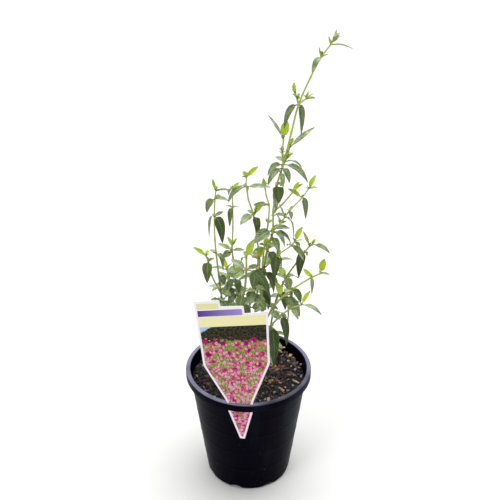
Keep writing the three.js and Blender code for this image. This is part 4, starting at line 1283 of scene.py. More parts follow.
def leaflets_of(shoots, draw):
    """Tiny folded leaflets in the leaf joints and round each shoot's tip."""
    rows = []
    for shoot in shoots:
        nodes = [Vector(p) for p in shoot["path"]]
        last = len(nodes) - 1
        joints = sorted({row[0] for row in shoot["leaves"]} | {last})
        for node in joints:
            for _ in range(TIP_LEAFLETS if node == last else JOINT_LEAFLETS):
                length = draw.uniform(*LEAFLET_LENGTH) * (TIP_LEAFLET_SCALE if node == last else 1)
                reach = pointing(draw.uniform(0, 360), length, draw.uniform(*LEAFLET_RISE))
                rows.append(leaf_row(
                    on_stem(nodes, node), reach, length * LEAFLET_SLIM, 0, draw.uniform(-1, 1), 1.0,
                ))
    return rows


def blade_points(name, rows):
    """A mesh of one point for each blade, with the row's values as attributes."""
    mesh = bpy.data.meshes.new(name)
    mesh.from_pydata([row["base"] * MM for row in rows], [], [])
    for key in ("reach", "bend", "level"):
        values = mesh.attributes.new(key, "FLOAT_VECTOR", "POINT")
        values.data.foreach_set("vector", [v * MM for row in rows for v in row[key]])
    for key, scale in (("breadth", MM), ("roll", 1), ("tone", 1), ("youth", 1)):
        values = mesh.attributes.new(key, "FLOAT", "POINT")
        values.data.foreach_set("value", [row[key] * scale for row in rows])
    return mesh


# Living leaf with a felt of short grey hairs, whose pale patches are partly painted
# silvery highlight: dull, dark green between pale veins when grown, thin and
# yellow-green when young, greyer below, on a pinkish petiole
downy_leaf = new_material("downy_living_leaf")
tree = downy_leaf.node_tree
place = add_node(tree, "ShaderNodeTexCoord").outputs["Object"]
seen = {
    name: add_node(tree, "ShaderNodeAttribute", attribute_name=name).outputs["Fac"]
    for name in ("across", "share", "side_up", "tone", "youth")
}
off_rib = add_node(tree, "ShaderNodeMath", {0: seen["across"]}, operation="ABSOLUTE")
lamina = add_node(tree, "ShaderNodeMapRange", {
    "Value": seen["share"], "From Min": PETIOLE_SHARE, "From Max": 1.0,
})
# Side veins, so many to a side, lean towards the tip
VEIN_COUNT = 8.0
VEIN_LEAN = 1.9
vein_lean = add_node(tree, "ShaderNodeMath", {0: off_rib, 1: -VEIN_LEAN}, operation="MULTIPLY")
vein_phase = add_node(tree, "ShaderNodeMath", {
    0: lamina, 1: VEIN_COUNT, 2: vein_lean,
}, operation="MULTIPLY_ADD")
vein_gap = add_node(tree, "ShaderNodeMath", {0: vein_phase, 1: 0.5}, operation="PINGPONG")
side_vein = add_node(tree, "ShaderNodeMapRange", {"Value": vein_gap, "From Min": 0.2, "From Max": 0.02})
midrib_line = add_node(tree, "ShaderNodeMapRange", {"Value": off_rib, "From Min": 0.16, "From Max": 0.04})
veins = add_node(tree, "ShaderNodeMath", {0: side_vein, 1: midrib_line}, operation="MAXIMUM")
# The felt of hairs is drawn coarser than it is, or it would not show
felt = add_node(tree, "ShaderNodeTexNoise", {
    "Vector": place, "Scale": grains(1.11), "Detail": 4.0, "Roughness": 0.65,
})
patch = add_node(tree, "ShaderNodeTexNoise", {"Vector": place, "Scale": grains(8.33), "Detail": 2.0})
tone_share = add_node(tree, "ShaderNodeMapRange", {
    "Value": seen["tone"], "From Min": -1.0, "From Max": 1.0,
})
grown = add_node(tree, "ShaderNodeMix", {
    "Factor": tone_share, "A": linear("#30470e"), "B": linear("#5f7e36"),
}, data_type="RGBA")
# Grey felt in patches, partly a painted silvery highlight, thickest on the paler leaves
hair_and_sheen_patch = add_node(tree, "ShaderNodeMapRange", {
    "Value": patch, "From Min": 0.38, "From Max": 0.68, "To Min": 0.0, "To Max": 0.55,
})
hair_and_sheen_growth = add_node(tree, "ShaderNodeMapRange", {
    "Value": seen["tone"], "From Min": -0.6, "From Max": 0.9, "To Min": 0.05, "To Max": 1.5,
})
hair_and_painted_sheen = add_node(tree, "ShaderNodeMath", {0: hair_and_sheen_growth, 1: hair_and_sheen_patch}, operation="MULTIPLY")
vein_paleness = add_node(tree, "ShaderNodeMapRange", {
    "Value": seen["tone"], "From Min": -0.8, "From Max": 0.8, "To Min": 0.16, "To Max": 0.7,
})
vein_share = add_node(tree, "ShaderNodeMath", {0: veins, 1: vein_paleness}, operation="MULTIPLY")
young = add_node(tree, "ShaderNodeMix", {
    "Factor": tone_share, "A": linear("#6f8d04"), "B": linear("#b4cc10"),
}, data_type="RGBA")
# A young leaf greens from its tip down
unripe = add_node(tree, "ShaderNodeMapRange", {
    "Value": lamina, "From Min": 0.3, "From Max": 0.85, "To Min": 1.25, "To Max": 0.5,
})
young_share = add_node(tree, "ShaderNodeMath", {
    0: seen["youth"], 1: unripe,
}, operation="MULTIPLY", use_clamp=True)
# Below it is greyer, but on a young leaf the bright young colour stays, as painted light shining through
felt_below_with_painted_glow = add_node(tree, "ShaderNodeMapRange", {
    "Value": young_share, "From Max": 0.8, "To Min": 0.6, "To Max": 0.05,
})
under_share = add_node(tree, "ShaderNodeMapRange", {
    "Value": seen["side_up"], "From Min": 0.2, "From Max": -0.2, "To Max": felt_below_with_painted_glow,
})
tip_share = add_node(tree, "ShaderNodeMapRange", {
    "Value": lamina, "From Min": 0.86, "From Max": 1.0, "To Max": 0.55,
})
old_tip = add_node(tree, "ShaderNodeMath", {0: tip_share, 1: tone_share}, operation="MULTIPLY")
petiole_share = add_node(tree, "ShaderNodeMapRange", {
    "Value": seen["share"], "From Min": 0.2, "From Max": 0.1, "To Max": 0.6,
})
# Over the grown green come hairs with painted silvery highlight, veins, youth, the underside, the tip and
# the petiole
leaf_colour = grown
for share, coat in (
    (hair_and_painted_sheen, linear("#b9c5ab")), (vein_share, linear("#c3cea6")), (young_share, young),
    (under_share, linear("#a3b382")), (old_tip, linear("#6b5347")),
    (petiole_share, linear("#a67c74")),
):
    leaf_colour = add_node(tree, "ShaderNodeMix", {
        "Factor": share, "A": leaf_colour, "B": coat,
    }, data_type="RGBA")
felt_shade = add_node(tree, "ShaderNodeMapRange", {
    "Value": felt, "From Min": 0.3, "From Max": 0.7, "To Min": 0.82, "To Max": 1.15,
})
mottled = add_node(tree, "ShaderNodeVectorMath", {0: leaf_colour, "Scale": felt_shade}, operation="SCALE")
quilting = add_node(tree, "ShaderNodeMath", {0: veins, 1: -2.0, 2: felt}, operation="MULTIPLY_ADD")
quilted = add_node(tree, "ShaderNodeBump", {"Height": quilting, "Strength": 0.55, "Distance": 0.3 * MM})
blade_skin = add_node(tree, "ShaderNodeBsdfPrincipled", {
    "Base Color": mottled, "Roughness": 0.5, "Normal": quilted, "Sheen Weight": hair_and_painted_sheen,
    "Sheen Roughness": 0.5, "Subsurface Weight": 0.12, "Subsurface Scale": MM,
    "Specular IOR Level": 0.22,
})
add_node(tree, "ShaderNodeOutputMaterial", {"Surface": blade_skin})

# Soft square stalk: downy, yellow-green above and a duller olive low down
STALK_OLIVE_BELOW = 150.0
STALK_BRIGHT_ABOVE = 300.0
downy_stalk = new_material("downy_living_stalk")
tree = downy_stalk.node_tree
place = add_node(tree, "ShaderNodeTexCoord").outputs["Object"]
height = add_node(tree, "ShaderNodeSeparateXYZ", {"Vector": place}).outputs["Z"]
low_green = add_node(tree, "ShaderNodeMapRange", {
    "Value": height, "From Min": STALK_OLIVE_BELOW * MM, "From Max": STALK_BRIGHT_ABOVE * MM,
})
streak_place = add_node(tree, "ShaderNodeMapping", {"Vector": place, "Scale": (1, 1, 0.08)})
streaks = add_node(tree, "ShaderNodeTexNoise", {
    "Vector": streak_place, "Scale": grains(0.667), "Detail": 3.0,
})
stalk_green = add_node(tree, "ShaderNodeMix", {
    "Factor": low_green, "A": linear("#5d6636"), "B": linear("#94a436"),
}, data_type="RGBA")
streaked = add_node(tree, "ShaderNodeMix", {
    "Factor": streaks, "A": stalk_green, "B": linear("#b3bd68"),
}, data_type="RGBA")
ribbed = add_node(tree, "ShaderNodeBump", {"Height": streaks, "Strength": 0.4, "Distance": 0.2 * MM})
stalk_skin = add_node(tree, "ShaderNodeBsdfPrincipled", {
    "Base Color": streaked, "Roughness": 0.55, "Normal": ribbed, "Sheen Weight": 0.3,
    "Sheen Roughness": 0.5, "Subsurface Weight": 0.1, "Subsurface Scale": MM,
})
add_node(tree, "ShaderNodeOutputMaterial", {"Surface": stalk_skin})

leaf_blades = leaf_tree()
square_stalks = stalk_tree()


def grow(node, shoots, seed):
    """One leafy stem, as its stalk, its leaves and its leaflets."""
    draw = random.Random(seed)
    stalk = new_piece(node + "_stalk", stalk_lines(node + "_stalk", shoots))
    use_tree(stalk, square_stalks, corner=STALK_CORNER, finish=downy_stalk)
    leaves = new_piece(node + "_leaves", blade_points(node + "_leaves", leaves_of(shoots, draw)))
    use_tree(
        leaves, leaf_blades, rows=LEAF_ROWS, columns=LEAF_COLUMNS, teeth=LEAF_TEETH,
        tooth_depth=TOOTH_DEPTH, petiole_share=PETIOLE_SHARE, petiole_width=PETIOLE_WIDTH * MM,
        thickness=LEAF_THICK * MM, fold=LEAF_FOLD, ripple=EDGE_RIPPLE, finish=downy_leaf,
    )
    leaflets = new_piece(node + "_leaflets", blade_points(node + "_leaflets", leaflets_of(shoots, draw)))
    use_tree(
        leaflets, leaf_blades, rows=10, columns=5, teeth=3.0, tooth_depth=0.1, petiole_share=0.1,
        petiole_width=0.6 * MM, thickness=0.35 * MM, fold=0.6, ripple=0.1, finish=downy_leaf,
    )
    for piece in (stalk, leaves, leaflets):
        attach(piece, "root")
        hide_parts(node)


# Each stem's table repeats the solid's. A path lists the nodes from below, a leaf is its
# node, reach x, y and z, width and turn, and one of the lower leaves is its node,
# azimuth, length, width and rise.
SIDE_GIRTH = (1.15, 0.8)
TALL_STEM = [
    {"girth": (2, 0.75),
     "path": [
         (10, 6, 129), (13, 6, 175), (15, 5, 223), (16, 3, 263), (20, 2, 287), (25, 0, 309),
         (25, 0, 331), (28, -2, 360), (34, -3, 383), (41, -4, 416), (47, -5, 444), (57, -6, 470),
         (66, -7, 489), (74, -8, 501), (77, -8, 506),
     ],
     "leaves": [
         (3.1, -4, -14, -19, 10.5, 0), (3.9, 10, -14, -14, 9, 20), (4, -15, -9, 2, 7.5, 20),
         (4, 12, 11, 2, 6.5, 0), (5, -19, -10, -9, 12, 35), (5, 12, -8, -14, 6.5, 10),
         (4.7, 7, -18, -10, 8, 0), (5.1, 18, 9, -4, 7, 20), (4.9, 20, 4, -17, 7.5, 20),
         (5.8, 18, 9, -11, 5.5, 20), (7, 2, -11, -14, 11.5, 0), (6.88, 0, -9, -21, 7, 0),
         (7, 5, 17, -8, 7.5, 0), (8, -15, 2, -13, 7.5, 30), (7.85, -14, -12, -13, 7, 20),
         (8.1, -8, 9, 2, 5, 20), (7.85, 7, -9, -12, 6.5, 20), (8, 24, -8, -16, 8, 20),
         (8.1, 18, 8, -10, 6.5, -20), (7.65, 2, -15, -10, 5.5, 0), (10, -13, -5, -22, 6, 60),
         (10, 3, -3, -29, 6, 60), (12, -6, -10, -6, 6.5, 0), (12, -2, 2, 9, 2.5, 0),
         (12, 7, 4, 2, 2.5, 0), (12, -8, -5, -14, 4, 40), (13, 20, -4, -3, 2.5, 20),
         (13, -2, 2, 7, 2.5, 0), (14, 5, -2, 6, 3.5, 30), (14, 2, 2, 8, 2.5, 0),
         (14, 3, -3, 4, 3.5, 0), (8.2, -6, -4, 10, 4, 0), (8.3, 5, -8, 7, 4, 0),
         (8.1, 9, 2, 9, 3.5, 20), (2.3, 6, -8, -20, 9.5, 0), (1.9, 17, -9, -2, 9.5, 0),
         (2.9, 11, -9, -21, 10, 0),
     ],
     "lower": [
         (2, 200, 26, 9, -5), (2.8, 190, 28, 9.5, -10), (1.3, -35, 26, 9.5, -20),
         (3.2, 20, 22, 8.5, -20),
     ]},
    {"girth": SIDE_GIRTH,
     "path": [
         (25, 0, 309), (32, -2, 318), (41, -5, 334), (53, -8, 350), (59, -9, 360),
     ],
     "leaves": [
         (1.5, -6, -6, 19, 6.5, 20), (1, 7, 5, 1, 3, 20), (1.1, -6, -4, 14, 4.5, 0),
         (2, 2, -5, -7, 4.5, 0), (3, -14, 4, 8, 5, 30), (3, 4, -3, -22, 6, 60),
         (4, 7, 4, 13, 5, 30), (4, 8, -6, 4, 4, 20), (1.5, 10, 3, -25, 6, 0),
     ]},
    {"girth": SIDE_GIRTH,
     "path": [
         (25, 0, 331), (34, 6, 336), (45, 12, 347),
     ],
     "leaves": [
         (2, 10, -4, 11, 5, 30), (2, 7, 6, 9, 5, 0), (2, 5, 8, -9, 4, 0),
     ]},
    {"girth": SIDE_GIRTH,
     "path": [
         (34, -3, 383), (33, -1, 395), (34, 1, 408),
     ],
     "leaves": [
         (2, -15, 6, 22, 4, 20), (2, 3, 7, 17, 9, 0), (1, -3, -6, 7, 3.5, 0),
     ]},
    {"girth": SIDE_GIRTH,
     "path": [
         (34, -3, 383), (38, 3, 390), (40, 5, 397),
     ],
     "leaves": [
         (2, 25, 10, 18, 5.5, 30), (2, 3, -6, 13, 5.5, 0), (1, 7, 6, -1, 3.5, 0),
     ]},
    {"girth": SIDE_GIRTH,
     "path": [
         (47, -5, 444), (46, -2, 448), (44, 0, 452),
     ],
     "leaves": [
         (1, -5, -4, 7, 4.5, 30), (1, 1, 4, 3, 4, 30), (2, -1, 3, 11, 5, 60),
     ]},
    {"girth": SIDE_GIRTH,
     "path": [
         (47, -5, 444), (51, -8, 449), (54, -9, 451),
     ],
     "leaves": [
         (2, 8, -4, 2, 3.5, 30), (2, 2, 2, 7, 2.5, 0), (2, 7, 4, 4, 2.5, 0),
     ]},
    {"girth": SIDE_GIRTH,
     "path": [
         (16, 3, 263), (23, -3, 274), (30, -6, 284), (43, -8, 296), (47, -8, 301),
     ],
     "leaves": [
         (2, -3, -13, -20, 10.5, 0), (2, 4, 6, -21, 6.5, 40), (3, 13, -8, -13, 7.5, 20),
         (3, -3, 11, -6, 4, 0), (4, 8, 4, 15, 6.5, 20), (4, 8, -6, 5, 3.5, 0), (4, 5, -8, -3, 5, 0),
     ]},
    {"girth": SIDE_GIRTH,
     "path": [
         (20, 2, 287), (19, -2, 291), (18, -5, 295),
     ],
     "leaves": [
         (2, 1, -5, 11, 6.5, 0), (2, 8, -4, 4, 5, 20), (2, -7, -3, 3, 4.5, 20),
     ]},
]
grow("tall_stem", TALL_STEM, 101)


# Flower bud at the leader's tip: ribbed calyces pressed together, each with five thin
# pinkish teeth round its mouth. A ring is its radius, height and the rise of the teeth.
BUD_FOOT = (75.8, -8.0, 503.4)
BUD_AXIS = (0.5, -0.1, 0.86)
BUD_SPREAD = 15.0
CALYCES = 7
CALYX_RINGS = (
    (0.0, 0.0, 0.0), (0.45, 0.1, 0.0), (0.95, 1.6, 0.0), (1.15, 3.8, 0.0), (0.75, 5.6, 0.0),
    (0.6, 6.0, 2.8), (0.5, 6.0, 2.7), (0.35, 5.8, 0.0), (0.0, 5.4, 0.0),
)
CALYX_SIDES = 20
CALYX_TEETH = (1.0, 0.3, 0.0, 0.3)
TEETH_RING = 4

bud_shape = bmesh.new()
on_axis = Vector(BUD_AXIS).to_track_quat("Z", "Y").to_matrix().to_4x4()
for calyx in range(CALYCES):
    around = Matrix.Rotation(2 * math.pi * calyx / (CALYCES - 1), 4, "Z")
    lean = Matrix.Rotation(math.radians(BUD_SPREAD if calyx else 0), 4, "X")
    stand = Matrix.Translation(Vector(BUD_FOOT) * MM) @ on_axis @ around @ lean
    rings = []
    for radius, height, rise in CALYX_RINGS:
        ring = []
        for side in range(CALYX_SIDES if radius else 1):
            angle = 2 * math.pi * side / CALYX_SIDES
            tooth = rise * CALYX_TEETH[side % len(CALYX_TEETH)]
            spot = Vector((radius * math.cos(angle), radius * math.sin(angle), height + tooth))
            ring.append(bud_shape.verts.new(stand @ (spot * MM)))
        rings.append(ring)
    for number, face in enumerate(bridged(bud_shape, rings)):
        face.material_index = int(number >= TEETH_RING * CALYX_SIDES)
        face.smooth = True
bmesh.ops.recalc_face_normals(bud_shape, faces=bud_shape.faces)
bud_mesh = as_mesh("flower_bud", bud_shape)


def calyx_skin(name, dark, pale):
    """Thin ribbed plant skin, streaked along its length."""
    material = new_material(name)
    tree = material.node_tree
    place = add_node(tree, "ShaderNodeTexCoord").outputs["Object"]
    long_place = add_node(tree, "ShaderNodeMapping", {"Vector": place, "Scale": (1, 1, 0.15)})
    ribs = add_node(tree, "ShaderNodeTexNoise", {
        "Vector": long_place, "Scale": grains(0.455), "Detail": 2.0,
    })
    colour = add_node(tree, "ShaderNodeMix", {
        "Factor": ribs, "A": linear(dark), "B": linear(pale),
    }, data_type="RGBA")
    ribbed = add_node(tree, "ShaderNodeBump", {"Height": ribs, "Strength": 0.5, "Distance": 0.2 * MM})
    skin = add_node(tree, "ShaderNodeBsdfPrincipled", {
        "Base Color": colour, "Roughness": 0.6, "Normal": ribbed,
    })
    add_node(tree, "ShaderNodeOutputMaterial", {"Surface": skin})
    return material


bud_mesh.materials.append(calyx_skin("ribbed_green_calyx", "#5a7414", "#8ea231"))
bud_mesh.materials.append(calyx_skin("dry_pinkish_calyx_teeth", "#b79ea2", "#e3d6d8"))
bud = new_piece("flower_bud", bud_mesh)
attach(bud, "root")
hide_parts("tall_stem")


# Slender stem
# A thin shoot behind the leader, bare but for its tip and a few lower leaves. It is soft
# and downy like the leader, and stands in the mix on a foot of its own.
SLENDER_STEM = [
    {"girth": (1.4, 0.85),
     "path": [
         (13, 15, 129), (15, 14, 180), (16, 13, 230), (15, 12, 262), (17, 9, 288), (20, 8, 312),
         (21, 8, 334), (18, 9, 345), (17, 9, 352), (16, 9, 356),
     ],
     "leaves": [
         (6, -16, 5, -2, 5.5, 40), (9, -2, -7, 6, 4, 0), (9, -1, 4, 6, 3.5, 0), (9, 5, 7, -2, 4, 0),
         (2.7, 17, -8, -17, 9, 0),
     ],
     "lower": [
         (2, 45, 26, 9.5, -10), (3, 60, 26, 9.5, 0), (5, 80, 24, 9, -15),
     ]},
]
grow("slender_stem", SLENDER_STEM, 102)


# Left stem
# The leftmost upright shoot, with drooping pairs of leaves and one side shoot to the
# front. It leans out as it rises and ends in small young leaves.
LEFT_STEM = [
    {"girth": (1.6, 0.85),
     "path": [
         (-10, 3, 129), (-18, 2, 165), (-24, 0, 197), (-28, -2, 227), (-31, -4, 259),
         (-33, -6, 286), (-34, -6, 302), (-34, -7, 329), (-33, -7, 348), (-32, -7, 357),
     ],
     "leaves": [
         (3, -12, -4, -12, 5.5, 30), (3, -8, 8, -17, 5, 0), (3, -3, -8, -10, 5.5, 0),
         (3, 7, -10, -7, 8, 0), (3.3, 12, -3, -2, 8, 20), (4, 6, -6, -8, 8, 20),
         (4, 4, 12, -4, 8, 0), (5, 9, -6, -6, 5.5, 20), (5, 7, -5, -18, 5.5, 0),
         (5, -7, 10, -1, 5.5, 0), (7, -6, 6, -27, 4.5, 0), (7, 8, -9, -26, 10, 30),
         (7, 9, 7, 2, 4, 30), (8, -8, -6, -12, 8, 20), (8, 14, 5, -5, 6, 20), (8, 5, 10, 0, 5, 0),
         (9, -3, 2, 12, 3.5, 20), (9, 1, -4, 7, 3.5, 0), (9, 15, 5, -2, 4, 10),
         (3.6, 5, -6, 5, 5.5, 0), (3, -12, -8, 5, 7.5, 0), (3.1, 1, -10, 2, 8, 0),
     ],
     "lower": [
         (1, 175, 22, 8, -10), (2, 195, 26, 9, -15), (2, 85, 22, 8, -5), (3.4, 130, 24, 8, -15),
         (1.5, 140, 24, 9, -25),
     ]},
    {"girth": SIDE_GIRTH,
     "path": [
         (-29, -3, 236), (-38, -12, 264), (-41, -14, 281), (-43, -15, 288),
     ],
     "leaves": [
         (2, -1, -9, -20, 10.5, 0), (2, 6, 6, 1, 5, 0), (3, -13, 4, 8, 5.5, 20),
         (3, -4, -6, 8, 4, 0), (3, 2, 6, 4, 4, 0),
     ]},
]
grow("left_stem", LEFT_STEM, 103)


# Middle left stem
# A thin upright shoot between the left stem and the middle. Its broad leaves hang low
# down, and the ones above them are small.
MID_LEFT_STEM = [
    {"girth": (1.4, 0.85),
     "path": [
         (-4, 12, 129), (-7, 11, 175), (-11, 9, 221), (-14, 8, 248), (-16, 8, 272), (-17, 9, 282),
         (-16, 10, 307), (-16, 12, 330), (-16, 12, 344), (-16, 12, 350),
     ],
     "leaves": [
         (2.5, -12, -8, -6, 9, 20), (2.6, 4, -12, -6, 9, 0), (3, -8, -8, -14, 9, 0),
         (3, 4, -9, -13, 8, 0), (3, -8, 7, 3, 5.5, 20), (5, -15, 3, 6, 5.5, 30),
         (5, 13, -6, 3, 5, 20), (4.8, -10, -6, -4, 8, 30), (5.2, -5, 9, 7, 4, 0),
         (5.2, 5, 5, 7, 4, 0), (7, -8, 6, -1, 3.5, 0), (7, 7, 4, -2, 3.5, 0),
         (7, -3, -7, -19, 6, 0), (9, 7, 4, 6, 4, 30), (9, -2, -4, 5, 4, 0), (9, -4, 6, -9, 5, 0),
         (2.7, -15, -2, -11, 8.5, 20), (2.7, 7, 7, -15, 8.5, 20), (2.3, -9, -13, -9, 9.5, 0),
         (2.2, 6, -8, -11, 8.5, 0),
     ],
     "lower": [
         (1, 150, 24, 8, -10), (2, 130, 26, 9, -10), (3.2, 110, 22, 8, -15),
     ]},
]
grow("mid_left_stem", MID_LEFT_STEM, 104)


# Middle stem
# A shoot that comes up behind the leader and leans over to the left. Its leaves fill
# the middle of the plant.
MID_STEM = [
    {"girth": (1.5, 0.85),
     "path": [
         (3, 18, 129), (6, 20, 180), (10, 20, 230), (12, 17, 265), (9, 14, 292), (5, 8, 324),
         (0, 4, 343), (-1, 3, 351), (-2, 3, 357), (-2, 3, 367),
     ],
     "leaves": [
         (5, -13, -14, -5, 9, 20), (4.9, 4, -8, -17, 8.5, 0), (5, 11, 10, 10, 6.5, 30),
         (5, -6, 6, 2, 5.5, 0), (8, -18, -7, -14, 7.5, 20), (8, 24, -4, 1, 6.5, 20),
         (8, -8, 10, -8, 5.5, 0), (9, 12, 4, 10, 5.5, 30), (9, -2, -6, 9, 6.5, 0),
         (9, -3, 4, 3, 4, 0), (8, 1, 6, -10, 4, 0), (2.1, 3, 3, -33, 9.5, 0),
         (2.6, -5, -10, -22, 9, 0),
     ],
     "lower": [
         (2, 95, 26, 9.5, -10), (3, 120, 28, 9.5, -5), (4, 60, 24, 9, 0), (1.3, 70, 26, 9.5, -20),
     ]},
]
grow("mid_stem", MID_STEM, 105)


# Front stem
# The thickest shoot at the front. It forks low down, and both forks end in broad young
# leaves.
FRONT_STEM = [
    {"girth": (2.2, 1.3),
     "path": [
         (-1, -8, 129), (-5, -12, 185), (-8, -18, 233), (-4, -20, 251), (-2, -22, 276),
         (-2, -24, 291),
     ],
     "leaves": [
         (2, 9, -12, -12, 9.5, 0), (2, -14, -10, -9, 9.5, 20), (2.6, -3, -15, -10, 10.5, 0),
         (4, -13, -7, -7, 12, 20), (4, -16, 14, 4, 7.5, 30), (4, 24, -12, -28, 9.5, 20),
         (4, 14, 10, -1, 6.5, 20), (5, -2, -6, 11, 5, 0), (5, 8, 8, 17, 8, 20),
         (5, -5, 6, -8, 5, 0), (2.9, 12, -8, 5, 10, 0), (2.4, 4, -8, 0, 8.5, 0),
     ],
     "lower": [
         (0.9, -110, 24, 9, -10), (1, 190, 22, 8, -5),
     ]},
    {"girth": (1.6, 1.1),
     "path": [
         (-5, -12, 185), (0, -15, 220), (4, -16, 248), (9, -14, 269), (10, -14, 284),
     ],
     "leaves": [
         (1, 10, -14, -10, 9.5, 0), (3, -4, -13, -13, 11, 0), (2, -2, -14, -9, 10.5, 0),
         (2.2, 12, -6, 0, 8, 0), (1.8, 15, -18, -8, 10.5, 20), (4, -6, -8, 6, 5, 0),
         (4, 5, 6, 11, 8, 0), (4, -6, 2, 8, 5, 0), (1.2, 21, -6, 7, 9.5, 30),
     ]},
]
grow("front_stem", FRONT_STEM, 106)


# Right low stem
# A shoot that arches out low to the right, beyond the rim of the pot. A long narrow
# leaf hangs from its middle, and a young one stands at its tip.
RIGHT_LOW_STEM = [
    {"girth": (1.6, 0.85),
     "path": [
         (12, -4, 129), (14, -9, 170), (16, -12, 196), (23, -16, 221), (35, -20, 242),
         (44, -22, 252), (64, -24, 268), (73, -24, 273),
     ],
     "leaves": [
         (3, 10, -10, -3, 8, 20), (4, 18, -12, -16, 11, 25), (4, -7, 8, 14, 8.5, 0),
         (4, 8, -6, 7, 5, 20), (4, 7, 6, -34, 8, 20), (5, -7, -10, 3, 9, 0),
         (5, 10, -4, -14, 8, 30), (5, 10, 5, -6, 5, 0), (6, -8, 6, 7, 5, 30),
         (6, 1, -3, -18, 4, 20), (7, 4, 4, 15, 7.5, 20), (7, 9, -6, 2, 3.5, 20),
     ],
     "lower": [
         (1, 0, 24, 9, -15), (1.6, -20, 24, 9, -20),
     ]},
]
grow("right_low_stem", RIGHT_LOW_STEM, 107)


# Right stem
# A straight shoot that leans out to the right, above the low one. Most of its leaves
# hang.
RIGHT_STEM = [
    {"girth": (1.5, 0.85),
     "path": [
         (18, 6, 129), (23, 8, 175), (30, 8, 221), (40, 10, 248), (52, 10, 268), (59, 10, 279),
         (64, 10, 286), (67, 10, 288),
     ],
     "leaves": [
         (3, 4, -15, -5, 9.5, 0), (3, -9, 10, 8, 9, 0), (3, 14, 12, -8, 9, 0),
         (5, -6, -9, -26, 9.5, 20), (5, 3, 5, -8, 4, 0), (6, -7, 5, 15, 3.5, 30),
         (7, 18, -5, -8, 5.5, 30), (7, 3, 5, 4, 3.5, 0), (2.4, 6, -11, -18, 9.5, 0),
         (2.7, 10, -6, -21, 8.5, 0),
     ],
     "lower": [
         (1, 20, 24, 9, -15), (2, 5, 26, 9.5, -10), (1.5, 60, 26, 9.5, -20),
     ]},
]
grow("right_stem", RIGHT_STEM, 108)


# Right front stem
# The lowest shoot at the front right. Two long leaves hang from it, one of them into
# the pot.
RIGHT_FRONT_STEM = [
    {"girth": (1.5, 0.85),
     "path": [
         (15, -11, 129), (18, -17, 170), (23, -26, 208), (32, -30, 224), (43, -33, 236),
         (54, -36, 243),
     ],
     "leaves": [
         (2, 4, -8, -46, 11.5, 10), (1.8, -7, -9, -18, 9, 0), (3, 8, -6, -32, 9, 30),
         (3, 10, 8, -10, 8, 20), (4, 8, -8, -8, 5.5, 20), (5, 9, 3, 15, 5.5, 20),
         (5, 21, -5, -10, 5.5, 20),
     ],
     "lower": [
         (1, -60, 22, 8, -20),
     ]},
]
grow("right_front_stem", RIGHT_FRONT_STEM, 109)


# Back left stem
# A short leafy shoot behind, at the left. The others hide most of it from the front, and
# its leaves stand to its sides and behind it.
BACK_LEFT_STEM = [
    {"girth": (1.5, 0.85),
     "path": [
         (-7, 18, 129), (-11, 25, 168), (-16, 32, 200), (-21, 38, 226), (-24, 41, 240),
     ],
     "leaves": [
         (4, -4, 6, 12, 5.5, 0), (4, 6, -4, 11, 5.5, 0),
     ],
     "lower": [
         (1, 200, 26, 9, -20), (1, 110, 24, 9, -15), (2, 170, 30, 10.5, -15), (2, 60, 28, 9.5, -20),
         (3, 110, 28, 9.5, -10), (3, 215, 24, 9, -10), (4, 160, 20, 7, -5), (4, 20, 20, 7, 0),
         (0.6, 90, 26, 9.5, -20), (3.5, 80, 22, 8, -10),
     ]},
]
grow("back_left_stem", BACK_LEFT_STEM, 110)


# Back right stem
# A short leafy shoot behind, at the right. The others hide most of it from the front,
# and its leaves stand to its sides and behind it.
BACK_RIGHT_STEM = [
    {"girth": (1.5, 0.85),
     "path": [
         (9, 24, 129), (14, 31, 170), (20, 38, 206), (27, 43, 234), (31, 46, 248),
     ],
     "leaves": [
         (4, 5, 5, 12, 5.5, 0), (4, -5, -4, 11, 5.5, 0),
     ],
     "lower": [
         (1, 70, 26, 9, -20), (2, 10, 30, 10.5, -15), (2, 120, 28, 9.5, -10), (3, 60, 28, 9.5, -15),
         (3, -30, 26, 9, -10), (4, 150, 20, 7, 0), (4, 20, 20, 7, -5), (0.6, 115, 26, 9.5, -15),
         (3.5, 100, 22, 8, -10),
     ]},
]
grow("back_right_stem", BACK_RIGHT_STEM, 111)


# Loose bits
# What is seen one by one: bark flakes in warmer colours, dry twigs and a seedling on the
# mix, and salmon petals that have dropped onto the front stem's top leaves.
BARK_FLAKES = (
    (36.6, 47.2, 5.5, 3.4, 1.4, 25, 20, 0.8, 0), (43.4, 40.8, 5.0, 3.4, 1.2, -30, 35, 0.2, 0),
    (48.8, 34.3, 4.5, 3.0, 1.4, 70, 10, 0.9, 1), (51.8, 26.9, 10.0, 3.2, 1.5, 110, 12, 0.1, 0),
    (37.0, 10.9, 7.0, 3.6, 1.3, -25, 18, 0.6, 0), (25.0, -13.0, 6.0, 2.6, 1.4, 20, 12, 0.7, 1),
    (-58.0, -5.7, 4.5, 2.6, 1.4, 80, 15, 0.8, 1), (-48.0, 22.0, 6.0, 3.0, 1.4, 40, 10, 0.5, 0),
)
FLAKE_LIFT = 2.3
FLAKE_CUTS = 3
FLAKE_WEAR = 1.1
FLAKE_GRAIN = 2.4
FLAKE_SEED = 5
TWIGS = (
    (0.55, ((-57.5, -16.5), (-54.5, -14.4), (-50.6, -13.4), (-46.5, -13.0), (-42.9, -11.2))),
    (0.6, ((17.5, -21.0), (19.6, -22.9), (22.6, -25.4), (24.0, -28.6))),
)
TWIG_LIFT = 2.4
TWIG_TAPER = 0.1
TWIG_TINT = 0.8
SEEDLING_PATH = ((38.0, 42.0, 124.0), (38.4, 41.4, 130.0), (38.2, 40.6, 134.5))
SEEDLING_LEAVES = (
    (5, -1.5, 1.8, 3.2), (-4.6, 0.8, 2.2, 3.0), (0.6, -3.8, 2.4, 2.2), (0.5, 2.2, 3.4, 1.8),
)
PETAL_FALL = 290.0
PETAL_LIFT = 0.3
